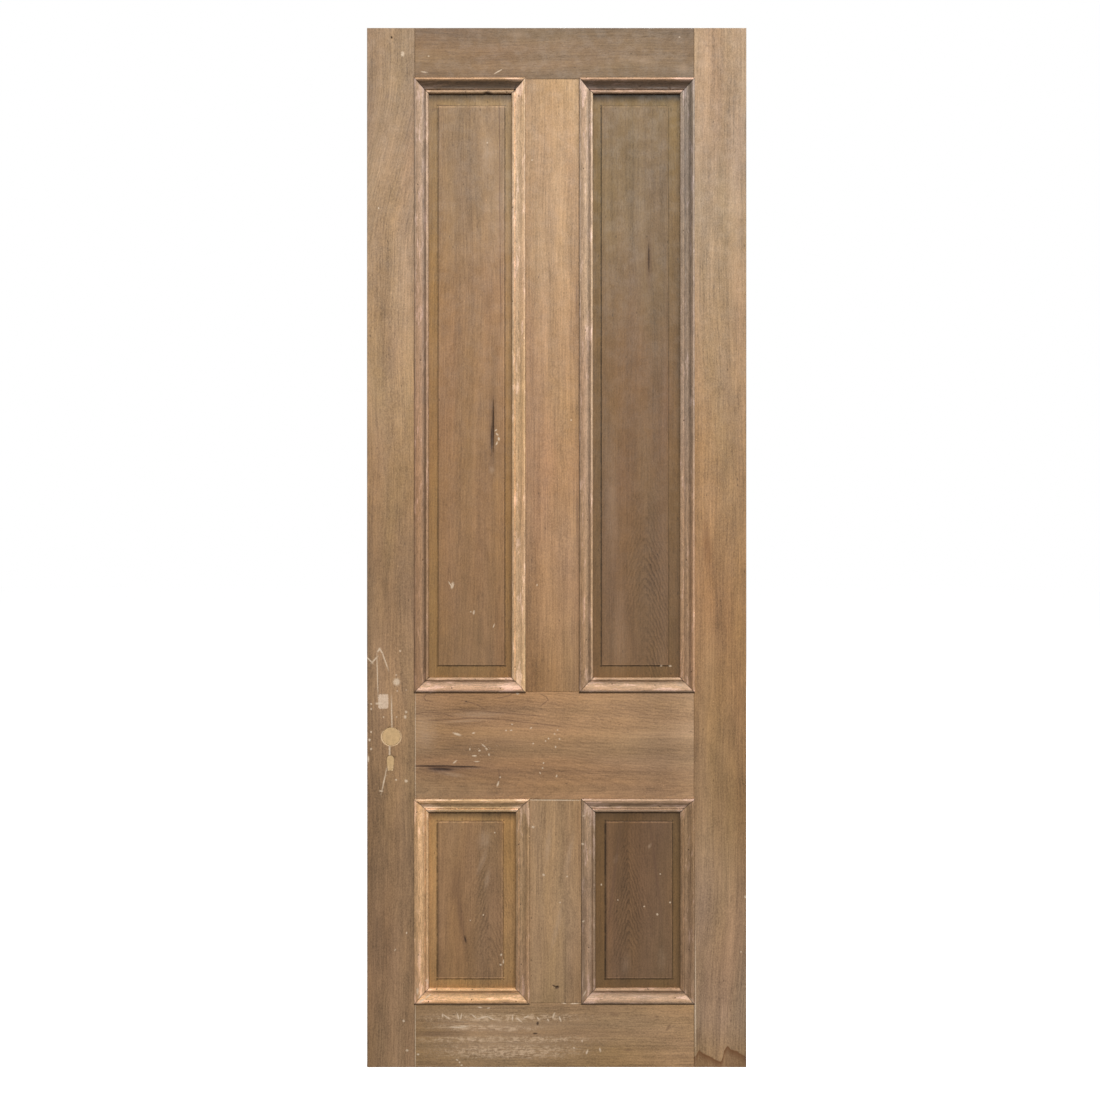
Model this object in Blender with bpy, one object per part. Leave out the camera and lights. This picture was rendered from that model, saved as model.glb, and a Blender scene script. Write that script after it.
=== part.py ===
"""A tall four-panel wooden door leaf: a mortised frame, raised panels and mitred mouldings.

The front faces -Y, +X is to the right as seen from the front and +Z is up. The origin is on the
hinge edge, at half its height and half its thickness.
"""

import math

import bmesh
import bpy
from mathutils import Vector

# The frame, in metres, from left to right and from top to bottom
LEAF_THICKNESS = 0.0445
LOCK_STILE_WIDTH = 0.115
UPPER_LEFT_OPENING_WIDTH = 0.266
UPPER_MUNTIN_WIDTH = 0.131
UPPER_RIGHT_OPENING_WIDTH = 0.276
HINGE_STILE_WIDTH = 0.126
LOWER_LEFT_OPENING_WIDTH = 0.276
LOWER_MUNTIN_WIDTH = 0.1265
TOP_RAIL_HEIGHT = 0.123
UPPER_OPENING_HEIGHT = 1.476
LOCK_RAIL_HEIGHT = 0.259
LOWER_OPENING_HEIGHT = 0.491
BOTTOM_RAIL_HEIGHT = 0.155

# The joints
JOINT_GAP = 0.0003
TONGUE_DEPTH = 0.010
TENON_LENGTH = 0.060
TENON_SHOULDER = 0.022
TWIN_TENON_SPACE = 0.070

# The panels, with depths counted back from the front face of the frame
PANEL_THICKNESS = 0.016
MARGIN_DEPTH = 0.0119
MARGIN_RISE = 0.0012
FIELD_RAISE = 0.0022

# From the edges of each opening to its raised field: left, right, and both top and bottom
UPPER_LEFT_REVEALS = (0.0558, 0.0497)
UPPER_RIGHT_REVEALS = (0.0533, 0.0614)
LOWER_LEFT_REVEALS = (0.0546, 0.0637)
LOWER_RIGHT_REVEALS = (0.0581, 0.0517)
UPPER_END_REVEAL = 0.062
LOWER_END_REVEAL = 0.0555

# The front moulding: a nose over the frame, an ogee, a quirk and a bead
MOULDING_LIP = 0.0015
NOSE_HEIGHT = 0.007
NOSE_RADIUS = 0.003
NOSE_END_ANGLE = math.radians(20)
NOSE_STEPS = 6
OGEE_WIDTH = 0.0188
OGEE_FALL = 0.009
OGEE_HOLLOW = 0.8
OGEE_STEPS = 9
QUIRK_WIDTH = 0.0018
QUIRK_DEPTH = 0.0024
BEAD_RADIUS = 0.004
BEAD_DROP = 0.0033
BEAD_STEPS = 7

# The plainer back moulding: an ovolo on a fillet
BACK_MOULDING_WIDTH = 0.016
BACK_MOULDING_HEIGHT = 0.013
BACK_FILLET = 0.002
BACK_OVOLO_STEPS = 5

# The filled knob hole and keyhole in the lock stile
KNOB_HOLE_HEIGHT = 0.797
KNOB_HOLE_BACKSET = 0.0586
KNOB_PLUG_DIAMETER = 0.0435
KNOB_PLUG_DEPTH = 0.009
KNOB_PLUG_SIDES = 48
KEYHOLE_BACKSET = 0.0565
KEYHOLE_TOP_BELOW_KNOB = 0.045
KEYHOLE_WIDTH = 0.0185
KEYHOLE_HEIGHT = 0.038
KEYHOLE_FOOT_WIDTH = 0.0135
KEYHOLE_DEPTH = 0.008
KEYHOLE_ARCH_STEPS = 12
CUTTER_OVERSHOOT = 0.01

# How far a face may turn from a direction, and how near it must lie, to be picked
FACING_ANGLE = math.radians(8)
REACH_TOLERANCE = 1e-5
CUT_TOLERANCE = 1e-7
SHARP_EDGE_ANGLE = math.radians(30)

# Everything below is worked out from the sizes above
INNER_WIDTH = UPPER_LEFT_OPENING_WIDTH + UPPER_MUNTIN_WIDTH + UPPER_RIGHT_OPENING_WIDTH
OPENINGS_HEIGHT = UPPER_OPENING_HEIGHT + LOWER_OPENING_HEIGHT
LEAF_WIDTH = LOCK_STILE_WIDTH + INNER_WIDTH + HINGE_STILE_WIDTH
LEAF_HEIGHT = TOP_RAIL_HEIGHT + LOCK_RAIL_HEIGHT + BOTTOM_RAIL_HEIGHT + OPENINGS_HEIGHT
LEFT = -LEAF_WIDTH
INNER_LEFT = LEFT + LOCK_STILE_WIDTH
INNER_RIGHT = -HINGE_STILE_WIDTH
TOP = LEAF_HEIGHT / 2
BOTTOM = -LEAF_HEIGHT / 2
FRONT = -LEAF_THICKNESS / 2
BACK = LEAF_THICKNESS / 2

UPPER_OPENING_TOP = TOP - TOP_RAIL_HEIGHT
UPPER_OPENING_BOTTOM = UPPER_OPENING_TOP - UPPER_OPENING_HEIGHT
LOWER_OPENING_TOP = UPPER_OPENING_BOTTOM - LOCK_RAIL_HEIGHT
LOWER_OPENING_BOTTOM = LOWER_OPENING_TOP - LOWER_OPENING_HEIGHT
UPPER_MUNTIN_LEFT = INNER_LEFT + UPPER_LEFT_OPENING_WIDTH
UPPER_MUNTIN_RIGHT = UPPER_MUNTIN_LEFT + UPPER_MUNTIN_WIDTH
LOWER_MUNTIN_LEFT = INNER_LEFT + LOWER_LEFT_OPENING_WIDTH
LOWER_MUNTIN_RIGHT = LOWER_MUNTIN_LEFT + LOWER_MUNTIN_WIDTH

PANEL_FRONT = FRONT + MARGIN_DEPTH
PANEL_BACK = PANEL_FRONT + PANEL_THICKNESS
GROOVE_DEPTH = TONGUE_DEPTH + JOINT_GAP
GROOVE_FRONT = PANEL_FRONT - JOINT_GAP
GROOVE_BACK = PANEL_BACK + JOINT_GAP
MITRE_INSET = JOINT_GAP / math.sqrt(2)

X = Vector((1, 0, 0))
Y = Vector((0, 1, 0))
Z = Vector((0, 0, 1))

# Each opening: left, right, bottom and top edge, then the reveals of the field at left, right and both ends
OPENINGS = {
    "upper_left": (
        (INNER_LEFT, UPPER_MUNTIN_LEFT, UPPER_OPENING_BOTTOM, UPPER_OPENING_TOP),
        (*UPPER_LEFT_REVEALS, UPPER_END_REVEAL),
    ),
    "upper_right": (
        (UPPER_MUNTIN_RIGHT, INNER_RIGHT, UPPER_OPENING_BOTTOM, UPPER_OPENING_TOP),
        (*UPPER_RIGHT_REVEALS, UPPER_END_REVEAL),
    ),
    "lower_left": (
        (INNER_LEFT, LOWER_MUNTIN_LEFT, LOWER_OPENING_BOTTOM, LOWER_OPENING_TOP),
        (*LOWER_LEFT_REVEALS, LOWER_END_REVEAL),
    ),
    "lower_right": (
        (LOWER_MUNTIN_RIGHT, INNER_RIGHT, LOWER_OPENING_BOTTOM, LOWER_OPENING_TOP),
        (*LOWER_RIGHT_REVEALS, LOWER_END_REVEAL),
    ),
}

# Each rail: bottom and top edge, whether a panel enters below and above it, and the tenons at each end
RAILS = {
    "top_rail": (UPPER_OPENING_TOP, TOP, True, False, 1),
    "lock_rail": (LOWER_OPENING_TOP, UPPER_OPENING_BOTTOM, True, True, 2),
    "bottom_rail": (BOTTOM, LOWER_OPENING_BOTTOM, False, True, 1),
}

# The looks: stripped wood, each kind of piece with its own tone
STILE_COLOUR = (0.35, 0.22, 0.125)
RAIL_COLOUR = (0.33, 0.205, 0.12)
MUNTIN_COLOUR = (0.42, 0.265, 0.15)
PANEL_COLOUR = (0.25, 0.155, 0.09)
MOULDING_COLOUR = (0.46, 0.30, 0.18)
BACK_MOULDING_COLOUR = (0.36, 0.23, 0.13)
KNOB_PLUG_COLOUR = (0.55, 0.37, 0.19)
KEYHOLE_PLUG_COLOUR = (0.62, 0.46, 0.30)
WOOD_ROUGHNESS = 0.7


def clear_scene():
    for obj in list(bpy.data.objects):
        bpy.data.objects.remove(obj, do_unlink=True)


def finish(name, colour):
    """The wood of one piece."""
    material = bpy.data.materials.new(name + "_wood")
    material.use_nodes = True
    shader = material.node_tree.nodes["Principled BSDF"]
    shader.inputs["Base Color"].default_value = (*colour, 1)
    shader.inputs["Roughness"].default_value = WOOD_ROUGHNESS
    shader.inputs["Metallic"].default_value = 0
    material.diffuse_color = (*colour, 1)
    return material


def add_object(bm, name, centre, leaf, turn=0.0):
    """Makes the bmesh an object at its centre, turned about Y and hung from the leaf's empty."""
    bmesh.ops.recalc_face_normals(bm, faces=bm.faces)
    mesh = bpy.data.meshes.new(name)
    bm.to_mesh(mesh)
    bm.free()
    obj = bpy.data.objects.new(name, mesh)
    obj.location = centre
    obj.rotation_euler = (0, turn, 0)
    obj.parent = leaf
    bpy.context.scene.collection.objects.link(obj)
    return obj


def add_piece(bm, name, centre, colour, leaf, turn=0.0):
    obj = add_object(bm, name, centre, leaf, turn)
    obj.data.materials.append(finish(name, colour))
    return obj


def push(bm, faces, offset):
    """Extrudes faces and moves the new ones by an offset; a face that stood alone stays as the other end."""
    inner = [face for face in faces if all(len(edge.link_faces) > 1 for edge in face.edges)]
    made = bmesh.ops.extrude_face_region(bm, geom=faces)["geom"]
    moved = [item for item in made if isinstance(item, bmesh.types.BMVert)]
    bmesh.ops.delete(bm, geom=inner, context="FACES_ONLY")
    bmesh.ops.translate(bm, vec=offset, verts=moved)
    bmesh.ops.recalc_face_normals(bm, faces=bm.faces)


def faces_at(bm, direction, reach):
    """The faces that look in a direction, at that reach from the board's centre."""
    bm.normal_update()
    facing = math.cos(FACING_ANGLE)
    found = []
    for face in bm.faces:
        away = face.calc_center_median().dot(direction)
        if face.normal.dot(direction) > facing and abs(away - reach) < REACH_TOLERANCE:
            found.append(face)
    return found


def cut_faces(bm, direction, reach, axis, positions):
    """Cuts the faces at that reach across an axis, at each position."""
    for position in positions:
        faces = faces_at(bm, direction, reach)
        edges = {edge for face in faces for edge in face.edges}
        verts = {vert for face in faces for vert in face.verts}
        geometry = [*verts, *edges, *faces]
        cut = axis * position
        bmesh.ops.bisect_plane(bm, geom=geometry, dist=CUT_TOLERANCE, plane_co=cut, plane_no=axis)


def faces_in_spans(bm, direction, reach, spans):
    """The faces at that reach whose centre lies in one of the spans along Z."""
    faces = faces_at(bm, direction, reach)
    return [f for f in faces if any(low < f.calc_center_median().z < high for low, high in spans)]


def ploughed_board(across, along, width, length, low_groove, high_groove):
    """A board centred on the origin, with a groove along each edge that takes panels."""
    half = width / 2
    section = [(-half, FRONT), (half, FRONT)]
    if high_groove:
        floor = half - GROOVE_DEPTH
        section += [(half, GROOVE_FRONT), (floor, GROOVE_FRONT), (floor, GROOVE_BACK), (half, GROOVE_BACK)]
    section += [(half, BACK), (-half, BACK)]
    if low_groove:
        floor = GROOVE_DEPTH - half
        section += [(-half, GROOVE_BACK), (floor, GROOVE_BACK), (floor, GROOVE_FRONT), (-half, GROOVE_FRONT)]
    bm = bmesh.new()
    start = -along * length / 2
    outline = bm.faces.new([bm.verts.new(across * a + Y * depth + start) for a, depth in section])
    push(bm, [outline], along * length)
    return bm


def add_tongue(bm, direction, reach):
    """Pushes the middle of a board's end out between its two cheeks."""
    cut_faces(bm, direction, reach, Y, (PANEL_FRONT, PANEL_BACK))
    faces = faces_at(bm, direction, reach)
    middle = [face for face in faces if PANEL_FRONT < face.calc_center_median().y < PANEL_BACK]
    push(bm, middle, direction * TONGUE_DEPTH)


def tenon_spans(bottom, top, count):
    """The lower and upper edge of each tenon on the end of a rail."""
    low = bottom + TENON_SHOULDER
    high = top - TENON_SHOULDER
    if count == 1:
        return [(low, high)]
    each = (high - low - TWIN_TENON_SPACE) / 2
    return [(low, low + each), (high - each, high)]


def make_rail(name, leaf):
    """A rail with a tongue and tenons at each end, ploughed where a panel enters it."""
    bottom, top, panel_below, panel_above, tenon_count = RAILS[name]
    width = INNER_WIDTH - 2 * JOINT_GAP
    centre = Vector(((INNER_LEFT + INNER_RIGHT) / 2, 0, (bottom + top) / 2))
    bm = ploughed_board(Z, X, top - bottom, width, panel_below, panel_above)
    spans = [(low - centre.z, high - centre.z) for low, high in tenon_spans(bottom, top, tenon_count)]
    span_edges = [edge for span in spans for edge in span]
    for direction in (-X, X):
        add_tongue(bm, direction, width / 2)
        reach = width / 2 + TONGUE_DEPTH
        cut_faces(bm, direction, reach, Z, span_edges)
        push(bm, faces_in_spans(bm, direction, reach, spans), direction * (TENON_LENGTH - TONGUE_DEPTH))
    add_piece(bm, name, centre, RAIL_COLOUR, leaf)


def make_muntin(name, left, right, bottom, top, leaf):
    """An upright between two rails, ploughed along both edges, with a tongue at each end."""
    height = top - bottom - 2 * JOINT_GAP
    centre = Vector(((left + right) / 2, 0, (bottom + top) / 2))
    bm = ploughed_board(X, Z, right - left, height, True, True)
    for direction in (-Z, Z):
        add_tongue(bm, direction, height / 2)
    add_piece(bm, name, centre, MUNTIN_COLOUR, leaf)


def make_stile(name, left, right, inward, leaf):
    """An upright over the leaf's whole height, ploughed and mortised on its inner edge."""
    width = right - left
    centre = Vector(((left + right) / 2, 0, 0))
    bm = ploughed_board(X, Z, width, LEAF_HEIGHT, inward.x < 0, inward.x > 0)
    spans = []
    for bottom, top, _, _, tenon_count in RAILS.values():
        for low, high in tenon_spans(bottom, top, tenon_count):
            spans.append((low - JOINT_GAP, high + JOINT_GAP))
    reach = width / 2 - GROOVE_DEPTH
    cut_faces(bm, inward, reach, Z, [edge for span in spans for edge in span])
    mortises = faces_in_spans(bm, inward, reach, spans)
    push(bm, mortises, inward * (TONGUE_DEPTH - TENON_LENGTH - JOINT_GAP))
    return add_piece(bm, name, centre, STILE_COLOUR, leaf)


def make_panel(name, edges, reveals, leaf):
    """A panel whose tongue enters the grooves all round, with a raised field on a sloping margin."""
    left, right, bottom, top = edges
    centre = Vector(((left + right) / 2, 0, (bottom + top) / 2))
    reveal_left, reveal_right, reveal_end = reveals
    bead = moulding_reach()
    rings = (
        (-TONGUE_DEPTH, -TONGUE_DEPTH, -TONGUE_DEPTH, PANEL_BACK),
        (-TONGUE_DEPTH, -TONGUE_DEPTH, -TONGUE_DEPTH, PANEL_FRONT),
        (bead, bead, bead, PANEL_FRONT),
        (reveal_left, reveal_right, reveal_end, PANEL_FRONT - MARGIN_RISE),
        (reveal_left, reveal_right, reveal_end, PANEL_FRONT - MARGIN_RISE - FIELD_RAISE),
    )
    bm = bmesh.new()
    face = bm.faces.new([bm.verts.new() for _ in range(4)])
    for index, (inset_left, inset_right, inset_end, depth) in enumerate(rings):
        if index:
            last = face
            made = bmesh.ops.extrude_face_region(bm, geom=[last])["geom"]
            face = next(item for item in made if isinstance(item, bmesh.types.BMFace))
            if index > 1:
                bmesh.ops.delete(bm, geom=[last], context="FACES_ONLY")
        low_x, high_x = left + inset_left, right - inset_right
        low_z, high_z = bottom + inset_end, top - inset_end
        corners = ((low_x, low_z), (high_x, low_z), (high_x, high_z), (low_x, high_z))
        for vert, (x, z) in zip(face.verts, corners):
            vert.co = Vector((x, depth, z)) - centre
    add_piece(bm, name, centre, PANEL_COLOUR, leaf)


def arc(centre, radius, start, end, steps):
    """Points on an arc, by angles in radians."""
    points = []
    for step in range(steps + 1):
        angle = start + (end - start) * step / steps
        points.append((centre[0] + radius * math.cos(angle), centre[1] + radius * math.sin(angle)))
    return points


def front_section():
    """The front moulding's section: distance in from the opening's edge, and height over the frame's face."""
    nose_centre = (NOSE_RADIUS - MOULDING_LIP, NOSE_HEIGHT - NOSE_RADIUS)
    nose = arc(nose_centre, NOSE_RADIUS, math.pi, NOSE_END_ANGLE, NOSE_STEPS)
    ogee = []
    for step in range(1, OGEE_STEPS + 1):
        share = step / OGEE_STEPS
        fall = share + OGEE_HOLLOW * math.sin(math.pi * share) / math.pi
        ogee.append((nose[-1][0] + OGEE_WIDTH * share, nose[-1][1] - OGEE_FALL * fall))
    quirk_floor = ogee[-1][1] - QUIRK_DEPTH
    bead_centre = (ogee[-1][0] + QUIRK_WIDTH + BEAD_RADIUS, -BEAD_DROP - BEAD_RADIUS)
    bead_start = math.pi - math.asin(min(1, max(0, (quirk_floor - bead_centre[1]) / BEAD_RADIUS)))
    bead = arc(bead_centre, BEAD_RADIUS, bead_start, 0, BEAD_STEPS)
    quirk = [(ogee[-1][0], quirk_floor)]
    base = JOINT_GAP - MARGIN_DEPTH
    seat = [(bead[-1][0], base), (JOINT_GAP, base), (JOINT_GAP, JOINT_GAP), (-MOULDING_LIP, JOINT_GAP)]
    return nose + ogee + quirk + bead + seat


def moulding_reach():
    """How far the front moulding comes in over the panel from the opening's edge."""
    return max(distance for distance, height in front_section())


def back_section():
    """The back moulding's section: distance in from the opening's edge, and height over the panel's back."""
    radius = BACK_MOULDING_HEIGHT - BACK_FILLET
    shelf = BACK_MOULDING_WIDTH - radius
    ovolo = arc((shelf, BACK_FILLET), radius, 0, math.pi / 2, BACK_OVOLO_STEPS)
    return [
        (JOINT_GAP, JOINT_GAP),
        (BACK_MOULDING_WIDTH, JOINT_GAP),
        *ovolo,
        (JOINT_GAP, BACK_MOULDING_HEIGHT),
    ]


def mitred_strip(section, half_length, half_reach):
    """A length of moulding along the top of an opening, its ends cut on the mitres."""
    bm = bmesh.new()
    ends = []
    for sign in (-1, 1):
        ends.append([])
        for distance, depth in section:
            end = sign * (half_length - distance - MITRE_INSET)
            ends[-1].append(Vector((end, depth, half_reach - distance)))
    face = bm.faces.new([bm.verts.new(point) for point in ends[0]])
    made = bmesh.ops.extrude_face_region(bm, geom=[face])["geom"]
    far_end = next(item for item in made if isinstance(item, bmesh.types.BMFace))
    for vert, point in zip(far_end.verts, ends[1]):
        vert.co = point
    return bm


def make_mouldings(opening, edges, middle_name, section, colour, leaf):
    """Four mitred lengths round an opening: the one along the top, turned about Y for each side."""
    left, right, bottom, top = edges
    centre = Vector(((left + right) / 2, 0, (bottom + top) / 2))
    half_width = (right - left) / 2
    half_height = (top - bottom) / 2
    for quarter, side in enumerate(("top", "right", "bottom", "left")):
        halves = (half_width, half_height) if quarter % 2 == 0 else (half_height, half_width)
        bm = mitred_strip(section, *halves)
        name = f"{opening}_{middle_name}_{side}"
        add_piece(bm, name, centre, colour, leaf, turn=quarter * math.pi / 2)


def hide_cutter(obj):
    obj.hide_render = True
    obj.display_type = "WIRE"


def cut_hole(stile, cutter):
    hide_cutter(cutter)
    boolean = stile.modifiers.new(cutter.name, "BOOLEAN")
    boolean.operation = "DIFFERENCE"
    boolean.solver = "EXACT"
    boolean.object = cutter


def disc(radius, front, back):
    """A round plug along Y."""
    outline = arc((0, 0), radius, 0, 2 * math.pi, KNOB_PLUG_SIDES)[:-1]
    return plug_from(outline, front, back)


def keyhole(spare, front, back):
    """An arched plug along Y, narrower at its foot, from the middle of its arch; spare widens it all round."""
    radius = KEYHOLE_WIDTH / 2
    foot = KEYHOLE_FOOT_WIDTH / 2 + spare
    fall = KEYHOLE_HEIGHT - radius + spare
    outline = arc((0, 0), radius + spare, 0, math.pi, KEYHOLE_ARCH_STEPS)
    outline += [(-foot, -fall), (foot, -fall)]
    return plug_from(outline, front, back)


def plug_from(outline, front, back):
    bm = bmesh.new()
    face = bm.faces.new([bm.verts.new((x, front, z)) for x, z in outline])
    push(bm, [face], Y * (back - front))
    return bm


def make_plugs(stile, leaf):
    """The filled knob hole and keyhole, each in its own pocket in the front of the lock stile."""
    knob = Vector((LEFT + KNOB_HOLE_BACKSET, 0, BOTTOM + KNOB_HOLE_HEIGHT))
    arch_height = knob.z - KEYHOLE_TOP_BELOW_KNOB - KEYHOLE_WIDTH / 2
    arch = Vector((LEFT + KEYHOLE_BACKSET, 0, arch_height))
    outside = FRONT - CUTTER_OVERSHOOT
    radius = KNOB_PLUG_DIAMETER / 2
    knob_floor = FRONT + KNOB_PLUG_DEPTH
    key_floor = FRONT + KEYHOLE_DEPTH
    bore = add_object(disc(radius + JOINT_GAP, outside, knob_floor + JOINT_GAP), "knob_bore", knob, leaf)
    slot = add_object(keyhole(JOINT_GAP, outside, key_floor + JOINT_GAP), "keyhole_slot", arch, leaf)
    cut_hole(stile, bore)
    cut_hole(stile, slot)
    plug = add_piece(disc(radius, FRONT, knob_floor), "knob_hole_plug", knob, KNOB_PLUG_COLOUR, leaf)
    plug.data.shade_smooth()
    plug.data.set_sharp_from_angle(angle=SHARP_EDGE_ANGLE)
    add_piece(keyhole(0, FRONT, key_floor), "keyhole_plug", arch, KEYHOLE_PLUG_COLOUR, leaf)


def make_frame(leaf):
    lock_stile = make_stile("lock_stile", LEFT, INNER_LEFT, X, leaf)
    make_stile("hinge_stile", INNER_RIGHT, 0, -X, leaf)
    for name in RAILS:
        make_rail(name, leaf)
    upper = (UPPER_MUNTIN_LEFT, UPPER_MUNTIN_RIGHT, UPPER_OPENING_BOTTOM, UPPER_OPENING_TOP)
    lower = (LOWER_MUNTIN_LEFT, LOWER_MUNTIN_RIGHT, LOWER_OPENING_BOTTOM, LOWER_OPENING_TOP)
    make_muntin("upper_muntin", *upper, leaf)
    make_muntin("lower_muntin", *lower, leaf)
    make_plugs(lock_stile, leaf)


def make_fillings(leaf):
    front = [(distance, FRONT - height) for distance, height in front_section()]
    back = [(distance, PANEL_BACK + height) for distance, height in back_section()]
    for opening, (edges, reveals) in OPENINGS.items():
        make_panel(f"{opening}_panel", edges, reveals, leaf)
        make_mouldings(opening, edges, "moulding", front, MOULDING_COLOUR, leaf)
        make_mouldings(opening, edges, "back_moulding", back, BACK_MOULDING_COLOUR, leaf)


def main():
    clear_scene()
    leaf = bpy.data.objects.new("door_leaf", None)
    bpy.context.scene.collection.objects.link(leaf)
    make_frame(leaf)
    make_fillings(leaf)


main()
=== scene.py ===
import math
from functools import reduce
from itertools import product

import bmesh
import bpy
from bpy.props import FloatProperty, FloatVectorProperty, PointerProperty
from bpy.types import Operator, Panel, PropertyGroup
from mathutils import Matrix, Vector, noise


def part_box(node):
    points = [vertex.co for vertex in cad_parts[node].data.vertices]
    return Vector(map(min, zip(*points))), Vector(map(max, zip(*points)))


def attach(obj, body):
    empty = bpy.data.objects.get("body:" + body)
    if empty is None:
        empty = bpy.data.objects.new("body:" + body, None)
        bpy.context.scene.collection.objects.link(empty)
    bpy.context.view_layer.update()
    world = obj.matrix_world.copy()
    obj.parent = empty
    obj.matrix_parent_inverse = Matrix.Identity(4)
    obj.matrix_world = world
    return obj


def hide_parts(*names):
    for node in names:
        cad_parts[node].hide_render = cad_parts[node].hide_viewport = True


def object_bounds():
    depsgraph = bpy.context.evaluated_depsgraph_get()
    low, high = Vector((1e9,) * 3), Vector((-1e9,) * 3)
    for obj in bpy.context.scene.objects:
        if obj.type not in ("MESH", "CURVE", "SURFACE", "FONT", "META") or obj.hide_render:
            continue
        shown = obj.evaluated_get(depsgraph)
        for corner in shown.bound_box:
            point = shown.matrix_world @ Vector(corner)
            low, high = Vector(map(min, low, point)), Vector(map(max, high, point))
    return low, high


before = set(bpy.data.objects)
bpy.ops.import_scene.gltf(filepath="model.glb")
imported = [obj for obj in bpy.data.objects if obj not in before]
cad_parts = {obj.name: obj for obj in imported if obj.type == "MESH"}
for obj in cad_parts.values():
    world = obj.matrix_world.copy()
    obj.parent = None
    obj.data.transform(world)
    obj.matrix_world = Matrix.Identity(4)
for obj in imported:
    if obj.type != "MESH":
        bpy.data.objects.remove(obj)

bl_info = {
    "name": "Old panelled door",
    "version": (1, 0, 0),
    "blender": (4, 5, 0),
    "location": "3D View > Sidebar > Door",
    "description": "Dresses the packed frame of a stripped four-panel door leaf in old, worn wood",
    "category": "Object",
}

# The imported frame, in metres
CAD_LOW, CAD_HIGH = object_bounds()
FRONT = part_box("lock_rail")[0].y
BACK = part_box("lock_rail")[1].y
FIELD_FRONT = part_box("upper_left_panel")[0].y
LEAF_MIDDLE = (CAD_LOW.x + CAD_HIGH.x) / 2
OPENINGS = ("upper_left", "upper_right", "lower_left", "lower_right")
SIDES = ("top", "right", "bottom", "left")
LEVEL_SIDES = ("top", "bottom")
UPRIGHTS = ("lock_stile", "hinge_stile", "upper_muntin", "lower_muntin")
RAILS = ("top_rail", "lock_rail", "bottom_rail")
RIGHT = Vector((1, 0, 0))
UP = Vector((0, 0, 1))

# A photograph pixel on the leaf's front, in metres, and where the leaf's top left corner is in it
PIXEL = 0.0024085
CORNER_X, CORNER_Y = 366.85, 27.8

# How the meshes are merged, cut and shaded
MERGE_DISTANCE = 1e-6
FLAT_ANGLE = math.radians(0.5)
CUT_TOLERANCE = 1e-7
CLOSEST_CUTS = 0.0004
SHORTEST_ARRIS = 0.03
LONG_HOLLOW = 0.02
STRIP_FINE_STEP = 0.0009
STRIP_EDGE_STEP = 0.0015
STRIP_ACROSS_STEP = 0.05
STRIP_ACROSS_EDGE_STEP = 0.02
PLUG_RIM = 0.0005
PLUG_INSET = 0.0022
PLUG_UNEVENNESS = 0.0003
BOARD_SHARP_ANGLE = math.radians(18)
MOULDING_SHARP_ANGLE = math.radians(38)

# How far a piece's seed moves its grain, and the sizes of marks that are the same everywhere
SEED_SHIFT = 0.37
STRIP_SEED_SHIFT = 1.3
PAINT_SIZE = 0.85
VEIN_OVERLAP = 0.001
VEIN_HALF_WIDTH = 0.0011
TIDE_BOARD = "hinge_stile"
TIDE_REACH = 0.08


def colour_property(name, description, default):
    return FloatVectorProperty(
        name=name, description=description, default=default, size=3, min=0, max=1, subtype="COLOR"
    )


def length_property(name, description, default):
    return FloatProperty(
        name=name, description=description, default=default, min=0, precision=5, subtype="DISTANCE",
        unit="LENGTH",
    )


class DoorSizes(PropertyGroup):
    """Sizes of the wear and of the mesh that carries it."""

    arris: length_property("Arris", "Width of the worn rounding along a board's edges", 0.0008)
    field_arris: length_property("Field arris", "Width of the rounding round a panel's raised field", 0.0011)
    board_step: length_property("Board step", "Distance between the mesh lines on boards and panels", 0.008)
    strip_step: length_property("Strip step", "Distance between the mesh lines along a moulding", 0.006)
    fine_step: length_property("Fine step", "Distance between the mesh lines at cracks and holes", 0.0013)
    edge_step: length_property("Edge step", "Distance of the first mesh line from an edge", 0.002)
    unevenness: length_property("Unevenness", "How far a planed face swells and dips", 0.00022)
    arris_wear: length_property("Arris wear", "How far wear eats into an arris", 0.0007)
    strip_wear: length_property("Strip wear", "How far wear eats into a moulding", 0.00028)
    nail_radius: length_property("Nail hole", "Radius of a nail hole", 0.0012)
    nail_depth: length_property("Nail hole depth", "Depth of a nail hole", 0.0018)


class DoorColours(PropertyGroup):
    """Colours of the wood and of what is on it."""

    cool_wood: colour_property("Cool wood", "Greyish olive wood", (0.50, 0.345, 0.222))
    warm_wood: colour_property("Warm wood", "Reddish brown wood", (0.50, 0.270, 0.130))
    yellow_cast: colour_property("Yellow cast", "Multiplies the colour of yellow wood", (0.97, 1.0, 0.70))
    paint: colour_property("Old paint", "Specks and runs of old paint", (0.74, 0.575, 0.41))
    patch: colour_property("Square patch", "The pinkish grey square on the lock stile", (0.76, 0.575, 0.42))
    filler: colour_property("Filler", "The filled knob hole and keyhole", (0.645, 0.425, 0.210))
    crack: colour_property("Crack", "Cracks, nail holes and knots", (0.045, 0.022, 0.012))
    smear: colour_property("Smear", "Dark marks round cracks", (0.135, 0.070, 0.040))
    scuff: colour_property("Scuff", "Whitish remains on the bottom rail", (0.68, 0.48, 0.31))
    haze: colour_property("Haze", "Pale bloom on the wood", (0.54, 0.375, 0.25))
    lip: colour_property("Lip", "The pale edge below the filled knob hole", (0.78, 0.54, 0.31))
    stain: colour_property("Stain", "The water stain's tide line", (0.17, 0.070, 0.024))


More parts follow.
